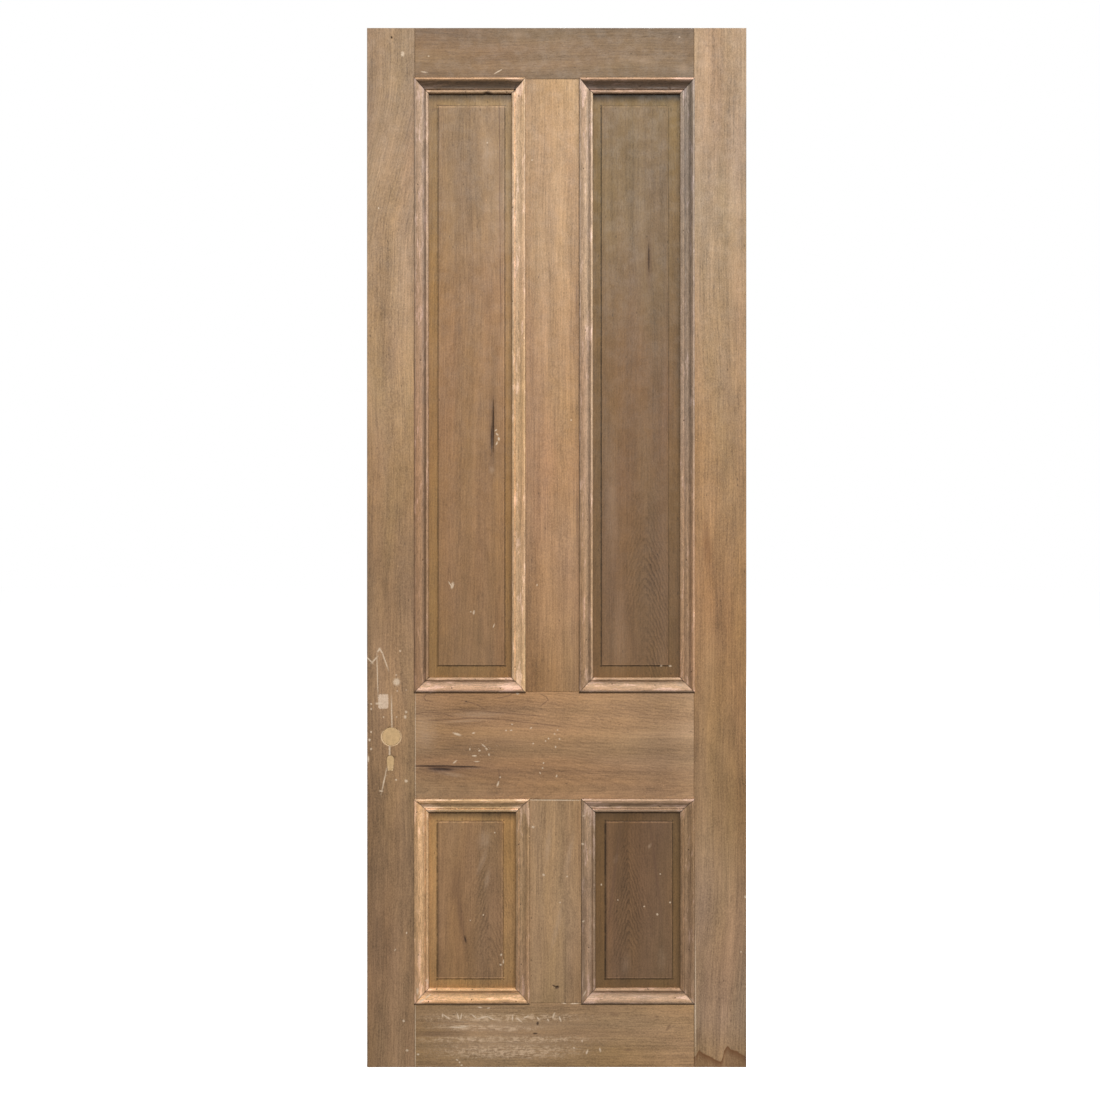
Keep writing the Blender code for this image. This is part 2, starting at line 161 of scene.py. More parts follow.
class DoorStage(PropertyGroup):
    """The floor, the light and the camera."""

    floor: colour_property("Floor", "The pale floor", (0.93, 0.93, 0.93))
    floor_glow: FloatProperty(name="Floor glow", description="Keeps the far floor pale", default=0.78)
    camera_distance: length_property("Camera distance", "From the camera to the leaf's front", 3.0)
    camera_height: FloatProperty(
        name="Camera height", description="Above the leaf's middle", default=-0.0057, unit="LENGTH"
    )
    camera_side: FloatProperty(
        name="Camera side", description="To the right of the leaf's middle", default=-0.0161, unit="LENGTH"
    )
    lens: FloatProperty(name="Lens", description="Focal length", default=40.76, subtype="DISTANCE_CAMERA")
    key_power: FloatProperty(name="Key light", description="Its power in front", default=540, subtype="POWER")
    back_power: FloatProperty(name="Back light", description="Its power behind", default=600, subtype="POWER")
    fill: FloatProperty(name="Fill", description="Strength of the light from all round", default=0.235)


SETTINGS = {"door_sizes": DoorSizes, "door_colours": DoorColours, "door_stage": DoorStage}

# The tone of each board: place along it from the bottom or left, then brightness, warmth and yellowness
# Up the stiles and muntins the brightness mostly rises towards the top, partly the wood's tone and partly a
# painted fall of light from above
BOARD_TONES = {
    "lock_stile": (
        (0.0, 0.31, 0.68, 0.25), (0.2, 0.285, 0.6, 0.2), (0.36, 0.366, 0.62, 0.2),
        (0.47, 0.298, 0.72, 0.25), (0.57, 0.365, 0.75, 0.4), (0.66, 0.42, 0.57, 0.35),
        (0.8, 0.41, 0.33, 0.2), (0.95, 0.355, 0.28, 0.15),
    ),
    "hinge_stile": (
        (0.0, 0.4, 0.65, 0.45), (0.05, 0.395, 0.35, 0.05), (0.14, 0.387, 0.45, 0.1),
        (0.27, 0.337, 0.8, 0.4), (0.37, 0.366, 0.95, 0.38), (0.44, 0.372, 1.0, 0.35),
        (0.57, 0.408, 0.82, 0.35), (0.68, 0.44, 0.57, 0.3), (0.86, 0.425, 0.15, 0.12),
        (1.0, 0.455, 0.2, 0.2),
    ),
    "upper_muntin": (
        (0.0, 0.33, 1.1, 0.25), (0.14, 0.38, 0.9, 0.15), (0.26, 0.41, 0.75, 0.1), (0.37, 0.42, 0.85, 0.0),
        (0.5, 0.43, 0.75, 0.15), (0.72, 0.46, 0.65, 0.2), (1.0, 0.465, 0.52, 0.35),
    ),
    "lower_muntin": ((0.0, 0.371, 0.63, 0.35), (0.5, 0.437, 0.57, 0.25), (1.0, 0.404, 0.63, 0.25)),
    "top_rail": (
        (0.0, 0.24, 0.7, 0.25), (0.25, 0.243, 0.68, 0.2), (0.5, 0.247, 0.42, 0.25), (1.0, 0.222, 0.25, 0.1),
    ),
    "lock_rail": (
        (0.0, 0.394, 0.7, 0.25), (0.22, 0.336, 0.92, 0.15), (0.5, 0.402, 0.95, 0.2),
        (0.65, 0.418, 0.9, 0.15), (0.82, 0.376, 0.8, 0.1), (1.0, 0.515, 0.57, 0.15),
    ),
    "bottom_rail": (
        (0.0, 0.317, 0.57, 0.5), (0.3, 0.362, 0.5, 0.35), (0.5, 0.34, 0.6, 0.35), (0.7, 0.385, 0.6, 0.4),
        (1.0, 0.485, 0.65, 0.4),
    ),
}

# How bright a board is from its left or lower edge to the other
BOARD_SWEEPS = {
    "lock_stile": ((0.0, 0.88), (0.35, 0.97), (0.6, 1.05), (1.0, 1.0)),
    "hinge_stile": ((0.0, 0.98), (0.3, 1.06), (0.6, 1.0), (1.0, 0.95)),
    "upper_muntin": ((0.0, 0.91), (0.3, 0.97), (0.75, 1.07), (1.0, 0.98)),
    "lower_muntin": ((0.0, 1.0), (1.0, 1.0)), "top_rail": ((0.0, 0.93), (0.5, 1.06), (1.0, 0.95)),
    "lock_rail": ((0.0, 0.97), (0.3, 0.92), (0.45, 0.9), (0.65, 1.07), (0.85, 1.14), (1.0, 1.08)),
    "bottom_rail": ((0.0, 1.0), (1.0, 1.0)),
}

# The tone of each panel's raised field from the bottom to the top
PANEL_TONES = {
    "upper_left": (
        (0.0, 0.275, 0.95, 0.25), (0.3, 0.32, 1.05, 0.25), (0.65, 0.34, 0.9, 0.25),
        (0.85, 0.32, 0.57, 0.25), (1.0, 0.32, 0.52, 0.3),
    ),
    "upper_right": (
        (0.0, 0.205, 0.98, 0.1), (0.45, 0.212, 0.95, 0.2), (0.8, 0.238, 0.45, 0.45),
        (1.0, 0.243, 0.42, 0.5),
    ),
    "lower_left": ((0.0, 0.257, 1.0, 0.28), (0.5, 0.308, 0.92, 0.27), (1.0, 0.319, 0.93, 0.3)),
    "lower_right": ((0.0, 0.187, 0.82, 0.0), (0.5, 0.192, 0.95, 0.0), (1.0, 0.154, 1.0, 0.1)),
}

# A panel's margin against its field: brightness, warmth, yellowness, left over right, and its brightness in the
# painted shade under its top moulding
MARGIN_TONES = {
    "upper_left": (1.04, 0.1, 0.5, 0.0, 0.28), "upper_right": (0.98, 0.12, 0.4, 0.01, 0.1),
    "lower_left": (1.37, 0.08, 0.45, 0.06, 0.33), "lower_right": (0.95, 0.1, 0.55, -0.09, 0.75),
}

# Round a raised field, in the order of SIDES: dark at its foot (dirt and painted shade), the painted highlight on
# its arris, the dark's reach in mm
FIELD_LINES = {
    "upper_left": ((0.5, 0.75, 1.0, 0.55), (1.0, 0.35, 0.12, 0.15), (2.5, 2.5, 2.6, 5.0)),
    "upper_right": ((0.4, 0.4, 1.0, 0.9), (0.6, 0.25, 0.3, 0.15), (2.2, 2.5, 2.6, 2.6)),
    "lower_left": ((0.6, 0.5, 0.85, 0.8), (1.2, 0.9, 1.3, 0.3), (2.6, 2.5, 3.2, 7.0)),
    "lower_right": ((0.5, 0.7, 0.95, 0.9), (1.2, 0.55, 0.6, 0.35), (2.6, 3.0, 2.8, 6.5)),
}

# For each front moulding, in the order of SIDES: brightness, warmth and yellowness at its two ends
# The top strips are set darker than the bottom ones, partly for their dirt and partly as painted shade from light
# above
MOULDING_TONES = {
    "upper_left": (
        ((0.35, 0.4, 0.0), (0.35, 0.4, 0.0)), ((0.64, 0.37, 0.22), (0.65, 0.22, 0.12)),
        ((0.53, 0.5, -0.04), (0.53, 0.5, -0.04)), ((0.33, 0.9, 0.0), (0.44, 0.12, -0.1)),
    ),
    "upper_right": (
        ((0.34, 0.5, -0.1), (0.34, 0.5, -0.1)), ((0.345, 0.75, -0.1), (0.245, -0.22, -0.25)),
        ((0.5, 0.45, 0.06), (0.5, 0.45, 0.06)), ((0.415, 0.5, 0.0), (0.5, 0.05, -0.1)),
    ),
    "lower_left": (
        ((0.52, 0.45, 0.3), (0.52, 0.45, 0.3)), ((0.43, 0.5, 0.2), (0.417, 0.5, 0.2)),
        ((0.67, 0.8, 0.35), (0.67, 0.8, 0.35)), ((0.67, 0.6, 0.3), (0.8, 0.65, 0.3)),
    ),
    "lower_right": (
        ((0.38, 0.35, 0.0), (0.36, 0.35, 0.0)), ((0.3, 0.52, 0.15), (0.34, 0.52, 0.15)),
        ((0.46, 0.4, 0.0), (0.44, 0.4, 0.0)), ((0.36, 0.3, 0.0), (0.405, 0.3, 0.12)),
    ),
}

# Painted highlights and shade across a front moulding, from the frame to the panel in metres: how bright and how
# much warmer it is there
MOULDING_PAINTED_LIGHT = {
    "upper top": (
        (-0.0015, 2.0, 0.2), (0.001, 1.85, 0.2), (0.003, 1.25, 0.1), (0.0045, 0.7, 0.1),
        (0.0065, 0.33, 0.2), (0.009, 0.24, 0.2), (0.019, 0.22, 0.2), (0.0215, 0.36, 0.1),
        (0.0235, 0.7, 0.0), (0.0255, 1.25, -0.1), (0.028, 1.4, -0.2), (0.0305, 0.95, -0.1),
        (0.033, 0.85, -0.1),
    ),
    "lower top": (
        (-0.0015, 1.2, 0.0), (0.0008, 1.5, 0.0), (0.003, 2.0, 0.0), (0.0055, 1.85, 0.0), (0.008, 1.25, 0.1),
        (0.0104, 0.7, 0.2), (0.013, 0.56, 0.2), (0.0165, 0.58, 0.1), (0.0195, 0.85, 0.0),
        (0.0222, 1.65, 0.0), (0.0248, 1.35, 0.0), (0.027, 0.75, 0.0), (0.0295, 0.6, 0.0), (0.033, 0.9, 0.1),
    ),
    "upper_left right": (
        (-0.0015, 0.75, 0.1), (0.0008, 1.05, 0.0), (0.003, 1.35, 0.0), (0.0055, 1.3, 0.0),
        (0.0085, 0.98, 0.0), (0.011, 0.88, 0.0), (0.015, 0.9, 0.0), (0.0205, 0.98, 0.0),
        (0.0232, 1.05, 0.0), (0.0255, 1.35, 0.0), (0.0278, 0.95, 0.0), (0.03, 0.85, 0.0), (0.032, 0.7, 0.1),
        (0.033, 0.6, 0.1),
    ),
    "upper_right right": (
        (-0.0015, 1.6, -0.1), (0.0012, 1.8, -0.2), (0.0036, 1.45, -0.1), (0.006, 1.0, 0.0),
        (0.0084, 0.74, 0.0), (0.0108, 0.72, 0.0), (0.0132, 1.0, -0.1), (0.0157, 1.22, -0.2),
        (0.0181, 0.98, 0.0), (0.0205, 0.8, 0.0), (0.0229, 0.95, 0.0), (0.0253, 1.5, -0.2),
        (0.0277, 1.2, -0.1), (0.0301, 1.1, 0.0), (0.033, 1.5, 0.0),
    ),
    "lower right": (
        (-0.0015, 0.75, 0.1), (0.0017, 1.15, 0.0), (0.0041, 1.3, 0.0), (0.0065, 1.0, 0.0),
        (0.0089, 0.85, 0.0), (0.0132, 0.82, 0.0), (0.016, 0.92, 0.0), (0.019, 1.0, 0.0),
        (0.0215, 0.92, 0.0), (0.0235, 1.0, 0.0), (0.0258, 1.22, 0.0), (0.028, 0.8, 0.1),
        (0.0305, 0.85, 0.1), (0.033, 1.0, 0.1),
    ),
    "bottom": (
        (-0.0015, 0.3, 0.2), (0.0008, 0.3, 0.2), (0.0029, 0.55, 0.1), (0.0053, 1.0, 0.0),
        (0.0077, 1.17, 0.0), (0.011, 1.18, 0.0), (0.015, 1.13, 0.0), (0.0185, 0.95, 0.0),
        (0.0215, 0.72, 0.1), (0.0245, 0.48, 0.2), (0.0268, 0.7, 0.1), (0.029, 1.05, 0.0),
        (0.0312, 1.2, 0.0), (0.033, 1.35, 0.0),
    ),
    "upper left": (
        (-0.0015, 0.52, 0.1), (0.001, 0.62, 0.1), (0.0028, 0.86, 0.0), (0.0045, 1.05, 0.0),
        (0.008, 1.07, 0.0), (0.0145, 1.12, 0.0), (0.0175, 1.0, 0.0), (0.0195, 0.82, 0.0), (0.022, 0.6, 0.1),
        (0.0245, 0.52, 0.1), (0.0268, 0.78, 0.0), (0.0288, 1.3, -0.1), (0.031, 1.25, -0.1),
        (0.033, 1.1, -0.1),
    ),
    "lower left": (
        (-0.0015, 0.48, 0.1), (0.001, 0.7, 0.1), (0.004, 0.76, 0.0), (0.007, 0.88, 0.0),
        (0.0118, 1.02, 0.0), (0.0142, 1.15, 0.0), (0.0165, 1.02, 0.0), (0.019, 0.93, 0.0),
        (0.0225, 0.85, 0.0), (0.0262, 0.72, 0.1), (0.0288, 0.86, 0.0), (0.031, 0.98, -0.1),
        (0.033, 0.9, -0.1),
    ),
}

# The rings of a piece: their centre's place across it and depth, their taper along it and their spacing
RINGS = {
    "lock_stile": (0.3, 0.04, 0.03, 0.008), "hinge_stile": (-0.25, 0.04, 0.02, 0.008),
    "upper_muntin": (0.14, 0.04, 0.015, 0.008), "lower_muntin": (0.03, 0.03, 0.06, 0.008),
    "top_rail": (0.2, 0.04, 0.02, 0.008), "lock_rail": (0.107, 0.03, 0.14, 0.008),
    "bottom_rail": (-0.15, 0.04, 0.03, 0.008), "upper_left": (0.03, 0.02, 0.1, 0.008),
    "upper_right": (0.021, 0.008, 0.36, 0.008), "lower_left": (0.041, 0.01, 0.34, 0.0075),
    "lower_right": (-0.018, 0.01, 0.36, 0.0075),
}

# How far a piece's grain wanders, in metres, and how strong its streaks, rings and pores are
GRAINS = {
    "lock_stile": (0.07, 0.72, 0.09, 0.16), "hinge_stile": (0.04, 0.68, 0.09, 0.14),
    "upper_muntin": (0.03, 0.68, 0.06, 0.12), "lower_muntin": (0.05, 0.6, 0.1, 0.16),
    "top_rail": (0.04, 0.56, 0.06, 0.14), "lock_rail": (0.04, 0.56, 0.12, 0.16),
    "bottom_rail": (0.05, 0.68, 0.08, 0.24), "upper_left": (0.04, 0.58, 0.07, 0.1),
    "upper_right": (0.03, 0.54, 0.3, 0.1), "lower_left": (0.06, 0.62, 0.26, 0.12),
    "lower_right": (0.05, 0.56, 0.3, 0.12),
}

# Where an upright's grain slants, in photograph pixels: from and to which height, and how far to the right
GRAIN_SLANTS = {"lock_stile": (250, 90, 26), "hinge_stile": (1055, 870, 12)}

# Where a panel's rings show, in photograph pixels: middle, half width and half height
FIGURES = {
    "upper_right": (647, 612, 19, 85), "lower_left": (493, 905, 16, 75), "lower_right": (628, 905, 18, 62),
}

# Hollows in the face of a piece, in photograph pixels: both ends, half width and depth in millimetres
HOLLOWS = {
    "lock_rail": ((415, 767.2, 481, 768.0, 1.6, 1.0), (428, 768.8, 456, 769.6, 6.0, 1.1)),
    "upper_left_panel": ((493.2, 399, 492.8, 453, 1.6, 1.8), (492.0, 428, 491.5, 449, 2.4, 1.4)),
    "upper_right_panel": ((649.2, 241, 648.8, 273, 1.4, 1.0),),
    "lower_muntin": ((555.8, 987.0, 557.6, 987.6, 2.2, 3.0),),
    "lock_stile": ((391.3, 37.0, 391.7, 37.6, 1.6, 2.0),),
    "upper_left_moulding_top": ((485.6, 92.5, 489.4, 94.5, 3.0, 2.2),),
}

# Nail holes in the mouldings, in photograph pixels
NAIL_HOLES = {
    "upper_left_moulding_top": ((465.5, 91.6), (506.5, 91.5)),
    "upper_left_moulding_right": (
        (520.4, 82.3), (511.4, 105.2), (518.5, 95.5), (512.4, 207), (512.4, 301), (514.7, 667.4),
    ),
    "upper_left_moulding_bottom": ((475, 679.3), (505.7, 679.3), (451.8, 688.0), (500.2, 688.2)),
    "upper_left_moulding_left": ((417.8, 184.6), (420.3, 360), (422.5, 560)),
    "upper_right_moulding_top": ((640, 86.0), (670, 87.5)),
    "upper_right_moulding_right": ((691.1, 671.6), (683.5, 230), (684, 420), (686.5, 560)),
    "upper_right_moulding_bottom": ((612, 684), (655, 685.2)),
    "upper_right_moulding_left": ((583.5, 168.7), (585.5, 330), (587.5, 520), (586.2, 640)),
    "lower_left_moulding_top": ((450, 806.5), (500, 807.0)),
    "lower_left_moulding_right": ((518.6, 845), (520.5, 905), (521, 965)),
    "lower_left_moulding_bottom": (
        (436.5, 990), (472, 990.3), (428.6, 1001), (471.5, 999.5), (515.8, 1000.8),
    ),
    "lower_left_moulding_left": ((416.8, 812.0), (418.3, 955), (426, 870)),
    "lower_right_moulding_top": ((610, 806.5), (660, 807)),
    "lower_right_moulding_right": ((688.5, 850), (689, 950)),
    "lower_right_moulding_bottom": ((612, 992), (648, 990), (675, 998)),
    "lower_right_moulding_left": ((587, 850), (588.5, 948)),
}

# Marks that are only colour, in photograph pixels: middle, half width and height, degrees turned clockwise
SPOTS = {
    "lock_stile": {
        "patch": ((383.2, 701.4, 5.0, 7.2),),
        "paint": (
            (396.4, 682, 3.6, 3.9), (402.5, 53.8, 2.0, 2.8), (371, 704, 1.0, 1.0), (371, 709, 1.1, 1.2),
            (371, 732, 1.1, 1.2), (369.3, 740, 1.3, 1.5), (371, 749, 1.1, 1.3, 20), (368.2, 759, 0.9, 3.2),
            (406, 712, 1.3, 1.3), (405, 717, 1.5, 1.8), (383.5, 717, 0.8, 0.8), (396.5, 717, 0.8, 0.8),
            (396, 780, 1.2, 1.0), (406, 781, 1.7, 1.6), (400, 651, 0.9, 1.1), (396, 675, 0.8, 0.8),
            (397, 691, 0.9, 0.8), (406, 690, 0.7, 0.6), (378.5, 208, 0.8, 1.2), (406.5, 933, 0.7, 1.2),
            (403.5, 1021, 1.2, 1.4), (407, 1050.5, 1.4, 1.2), (395, 950, 0.6, 1.5, 30),
            (380.8, 791, 2.2, 0.8, 5), (383.6, 782, 0.9, 2.2, 14),
        ),
        "lip": ((391.1, 736.9, 10.3, 9.3),), "bits": ((389.5, 774, 4, 3), (382, 790, 2.6, 2)),
        "crack": ((391.5, 37.3, 0.9, 1.2),), "smear": ((376.5, 782, 1.0, 1.0), (387, 96, 1.6, 3.0, 15)),
    },
    "hinge_stile": {
        "paint": ((741, 952, 0.9, 0.7), (745.2, 897, 1.0, 1.6)),
        "smear": (
            (706.5, 45.5, 1.3, 1.0, 30), (735, 152, 0.7, 0.7), (741, 180, 0.7, 0.7), (723, 93.5, 0.6, 0.6),
            (698.5, 1035, 2.0, 6.0), (745.8, 1059, 2.4, 6.0),
        ),
        "stain": ((707, 546, 3.4, 19, -4),),
    },
    "upper_muntin": {
        "paint": ((532, 160, 0.9, 0.8), (571, 420, 0.8, 0.9), (537, 585, 0.7, 1.2)),
        "smear": ((576.5, 300, 0.9, 20), (577, 520, 0.8, 30)),
    },
    "lower_muntin": {
        "crack": ((557.0, 987.2, 1.9, 1.6, -20), (554.0, 986.0, 1.9, 0.7, 28)),
        "paint": (
            (533, 827, 1.6, 1.3), (543.5, 875, 1.4, 1.2, 30), (567, 876.5, 0.7, 1.0),
            (560, 902.5, 0.9, 0.8),
        ),
        "haze": ((569, 855, 2.0, 16, 12), (556, 930, 2.0, 18, 14), (548, 845, 2.4, 14, 6)),
    },
    "top_rail": {
        "paint": (
            (428.5, 56, 0.9, 0.8), (679.5, 37, 1.0, 0.7), (424, 72, 3.6, 0.7, 8),
            (498.0, 71.5, 5.0, 0.7, -30),
        ),
        "haze": ((642, 60, 10, 3.0, 5), (683, 68, 4, 4), (517, 34.5, 8, 2.4)),
    },
    "lock_rail": {
        "split": ((441.5, 768.6, 14.5, 3.0, 1), (450, 767.0, 32, 1.4, 1)),
        "smear": ((441, 769, 17, 4.0), (420, 766.0, 8, 1.4)),
        "crack": (
            (434, 765.9, 18, 0.7), (462, 766.4, 17, 0.6, 1), (441, 769.2, 11, 1.2, 2),
            (466, 701.5, 0.9, 0.7),
        ),
        "paint": (
            (454.7, 762, 2.8, 0.8, -38), (457, 734.2, 4.6, 1.2, 18), (473.5, 733, 1.8, 0.8, -20),
            (483.8, 745.8, 2.6, 0.7, 40), (486.4, 748.9, 1.5, 0.9, 30), (479.4, 750.7, 1.2, 0.9),
            (489, 754.5, 0.9, 1.4), (474.3, 755.8, 2.4, 0.9), (469.8, 749.4, 0.7, 1.4),
            (497.8, 784.0, 0.9, 3.2, 20), (500.2, 777.3, 0.9, 1.0), (476.5, 761.5, 3.0, 0.6),
            (512, 724.3, 1.0, 0.8), (506, 730.5, 0.9, 0.8), (511, 730.3, 1.4, 0.7, -10),
            (531, 728, 1.5, 0.7, -40), (554.5, 734, 1.0, 0.8), (559.5, 739, 0.9, 0.9),
            (548.5, 738.7, 0.9, 0.9), (545.5, 741, 0.8, 0.8), (555.5, 747, 0.8, 1.2),
            (533, 743.6, 0.9, 0.9), (557.5, 730, 0.8, 0.8), (543.5, 763, 0.9, 0.8),
            (540, 773, 0.7, 1.2, -20), (542.5, 768, 0.8, 0.7), (556.5, 776, 0.7, 1.6, 15),
            (517.5, 693.5, 1.6, 0.9), (430.5, 692.5, 1.0, 0.7),
        ),
        "haze": (
            (452, 774.5, 10, 1.6, 8), (424, 733, 9, 14), (478, 714.5, 18, 2.8), (466, 721, 18, 1.0, -3),
        ),
        "bits": ((481, 750, 12, 9),),
    },
    "bottom_rail": {
        "paint": (
            (457, 1027.4, 8, 0.9, 2), (464, 1026.2, 5, 0.7), (458, 1016.5, 0.9, 4.0, -18),
            (461, 1016.5, 0.8, 3.4, 12), (446.5, 1017, 4.6, 0.8, 35), (442.5, 1015.5, 0.9, 2.0),
            (474, 1016.5, 3.6, 0.8, 40), (483, 1017.5, 7.5, 0.9, -12), (491, 1018.5, 4.2, 0.8, 25),
            (512.5, 1018, 0.9, 3.2), (519, 1020, 4.0, 0.8, 38), (526, 1017, 3.0, 0.8, -30),
            (538, 1018.5, 2.4, 0.8, 50), (548, 1020, 2.0, 0.8, 60), (553.5, 1015.5, 1.0, 3.0, 20),
            (560, 1019, 0.9, 3.0, -20), (480, 1007.5, 2.4, 0.8, 10), (488.5, 1008, 1.8, 0.7, -20),
            (418, 1054.5, 1.4, 0.9), (459.5, 1062.5, 1.0, 1.0), (461.5, 1065.2, 1.3, 0.8),
            (457, 1060, 1.6, 0.7, 30), (563, 1003.0, 4.0, 0.8, 15), (575, 1003.5, 5.0, 0.8, -5),
            (587, 1052, 1.0, 2.6, 20), (600, 1050, 1.0, 2.4, -10), (582, 1041, 0.9, 1.3),
            (574, 1048, 1.2, 0.9),
        ),
        "scuff": (
            (460, 1027.4, 13, 1.7), (470, 1027.6, 24, 2.2), (485, 1028, 44, 2.6, 1), (505, 1039.5, 68, 2.6),
            (508, 1051.5, 58, 5.6), (503, 1017.5, 62, 3.4),
        ),
        "haze": ((505, 1046, 66, 11), (500, 1026, 56, 5)),
        "smear": (
            (435, 1034.5, 22, 2.4), (614, 1014, 4.5, 1.8, 5), (656.5, 1016.5, 1.6, 1.2),
            (628, 1050, 3.5, 1.2, -5), (668, 1028, 1.2, 4.0, 30), (438, 1032.5, 22, 1.4),
        ),
        "crack": ((537.5, 1023.5, 1.2, 1.8), (535, 1033.5, 2.2, 0.8)),
    },
    "upper_left_panel": {
        "crack": ((493.0, 425, 0.85, 26), (491.6, 438, 1.3, 13)),
        "smear": ((491.8, 428, 3.4, 40, 1), (433.6, 107.8, 2.6, 1.1, -28), (445, 104, 7, 0.7, 5)),
        "paint": (
            (497, 434, 1.8, 0.9, 35), (498.5, 438.5, 1.2, 1.8), (495.5, 430, 1.6, 0.7, -40),
            (496.5, 443, 0.8, 2.2, 20), (487, 141.5, 0.9, 0.9), (452, 585.5, 1.6, 3.6, 15),
            (449.5, 584, 0.6, 3.2, -30), (473.5, 612.5, 1.1, 2.2, 10), (470.5, 612, 0.9, 0.7),
            (493.5, 626, 0.6, 2.4, 20),
        ),
        "haze": ((491.5, 470, 2.4, 2.8), (488, 155, 5.5, 14)),
    },
    "upper_right_panel": {
        "crack": ((649.0, 257, 0.75, 14),), "smear": ((649, 262, 2.8, 26),),
        "paint": ((661.5, 666.1, 1.3, 0.9), (670.5, 666.4, 1.5, 0.9)),
        "bloom": ((612, 505, 5.0, 42, -2), (620, 635, 6.0, 34)),
    },
    "lower_left_panel": {
        "crack": ((465, 940.5, 0.9, 3.4, -12),),
        "smear": ((460, 915, 2.6, 30, -8), (456, 885, 5.0, 16), (454.5, 884, 1.0, 5)),
        "paint": (
            (501, 956, 1.0, 1.4, 30), (500.5, 966, 1.6, 0.8, 10), (503, 963, 0.8, 2.2),
            (494.5, 833.5, 0.8, 0.8), (470, 921.5, 0.7, 0.7), (483, 916, 0.8, 0.8),
        ),
        "haze": (
            (484, 841, 5.5, 8.0, 10), (487, 843, 2.6, 3.6), (482, 862, 2.2, 10, 20), (487, 880, 2.0, 8, 10),
        ),
    },
    "lower_right_panel": {
        "smear": ((613.8, 882, 1.3, 46, 7), (656.2, 872, 1.2, 42, -7)),
        "bloom": (
            (626, 966, 3.6, 8.0, 10), (627, 968, 2.0, 4.0, 30), (615.8, 860, 2.0, 3.6, 15),
            (662, 960, 3.6, 9.0),
        ),
        "haze": ((649.8, 847, 1.3, 2.4, 35),),
        "paint": (
            (644.5, 907.5, 0.8, 0.8), (657.5, 915.5, 1.2, 1.2), (670.5, 903.5, 1.0, 0.9),
            (618, 901, 0.7, 0.7), (601.5, 886, 0.8, 1.0), (660.5, 875, 0.8, 0.8),
        ),
    },
    "lower_left_moulding_left": {
        "paint": (
            (426, 981, 1.6, 0.9, -50), (428, 983, 0.9, 1.6), (417.6, 991, 1.1, 3.6),
            (419.6, 996.5, 0.9, 2.4, 35),
        ),
        "haze": ((418, 950, 1.6, 12), (416.8, 985, 1.8, 10)),
    },
    "lower_right_moulding_left": {
        "paint": (
            (583.6, 815.4, 1.2, 1.1), (582.6, 843.5, 1.7, 1.2, 20), (583.2, 920.6, 1.5, 1.0),
            (584.5, 993, 0.9, 3.0, 30),
        ),
        "haze": ((583.5, 970, 1.5, 22), (590, 930, 1.0, 24)),
    },
    "lower_right_moulding_bottom": {"haze": ((592, 997, 7, 2.4, -20), (640, 996, 26, 1.4))},
    "lower_right_moulding_right": {
        "haze": ((692, 985, 1.0, 16),), "paint": ((691.5, 1000, 1.0, 2.2, -40),),
    },
    "upper_right_moulding_bottom": {"haze": ((590, 688, 4, 2.0, -30), (684, 687, 6, 1.6, 25))},
    "upper_left_moulding_bottom": {"haze": ((424, 688, 5, 1.4, -25), (515, 686, 5, 1.4, 25))},
    "lower_left_moulding_bottom": {
        "smear": ((505.5, 1001.6, 6.0, 1.6),),
        "paint": ((421.5, 1000.5, 3.6, 0.9, -25), (428, 996.5, 3.4, 0.7, -35)),
    },
    "upper_left_moulding_top": {
        "crack": ((487.2, 93.0, 4.2, 2.6, -10), (481, 94.8, 5.0, 0.9, -8), (515, 87.5, 0.8, 4.0, 18)),
    },
    "upper_left_moulding_right": {"crack": ((514.8, 88.0, 1.0, 4.0, 18),)},
}

# Thin lines of old paint, in photograph pixels: both ends and half width
PAINT_LINES = {
    "lock_stile": (
        (366.8, 657.5, 372, 662.5, 0.7), (372, 662.5, 376.8, 657.3, 0.7), (376.8, 657.3, 377.7, 692, 0.45),
        (378, 651, 379.6, 648.8, 0.9), (379.6, 649, 382.2, 653, 0.7), (382.2, 653, 387.5, 668, 0.6),
        (391.3, 700, 391.8, 727, 0.65), (389.5, 746, 389.5, 756, 0.8), (386, 771, 381.8, 791, 0.55),
        (376.6, 703.5, 380, 703.5, 0.8),
    ),
    "lock_rail": ((415.0, 694, 415.0, 798, 0.45),), "bottom_rail": ((415.0, 1005, 415.0, 1066, 0.5),),
    "lower_muntin": ((529.5, 800.0, 580, 800.4, 0.45),), "hinge_stile": ((694.9, 940, 695.4, 1038, 0.6),),
}

# Dark curved lines of the grain, in photograph pixels
VEINS = {
    "upper_left_panel": (((499.3, 107), (499.3, 170), (499.8, 240), (500.5, 320)),),
    "lock_rail": (
        ((433, 693.5), (426, 694.5), (423.6, 697.5), (426, 700.5), (432, 702)),
        ((466, 701.5), (476, 704), (484, 708.8)), ((415, 713.6), (428, 712.2), (442, 713.2), (452, 716.5)),
        ((540, 694), (546, 696.5), (548, 700), (541, 705.6)),
        ((430, 720.5), (450, 719.5), (470, 718), (500, 719), (530, 723), (560, 726)),
        ((515, 691.5), (508, 696), (496, 698.5)), ((455, 709.5), (480, 711), (505, 713), (540, 716)),
        ((498.5, 771), (499.5, 777), (498, 783)),
    ),
}

# The water stain's tide line on the hinge stile, in photograph pixels from left to right
TIDE_LINE = (
    (694, 1058), (696, 1057), (699, 1051), (702, 1054), (706, 1056), (711, 1058), (715, 1061), (721, 1063),
    (723, 1058), (724, 1052), (727.5, 1047), (731, 1051), (736, 1052), (740.5, 1055), (746, 1058),
)


def spot(px, py):
    """The place on the leaf's front of a photograph pixel."""
    return Vector((CAD_LOW.x + (px - CORNER_X) * PIXEL, FRONT, CAD_HIGH.z - (py - CORNER_Y) * PIXEL))


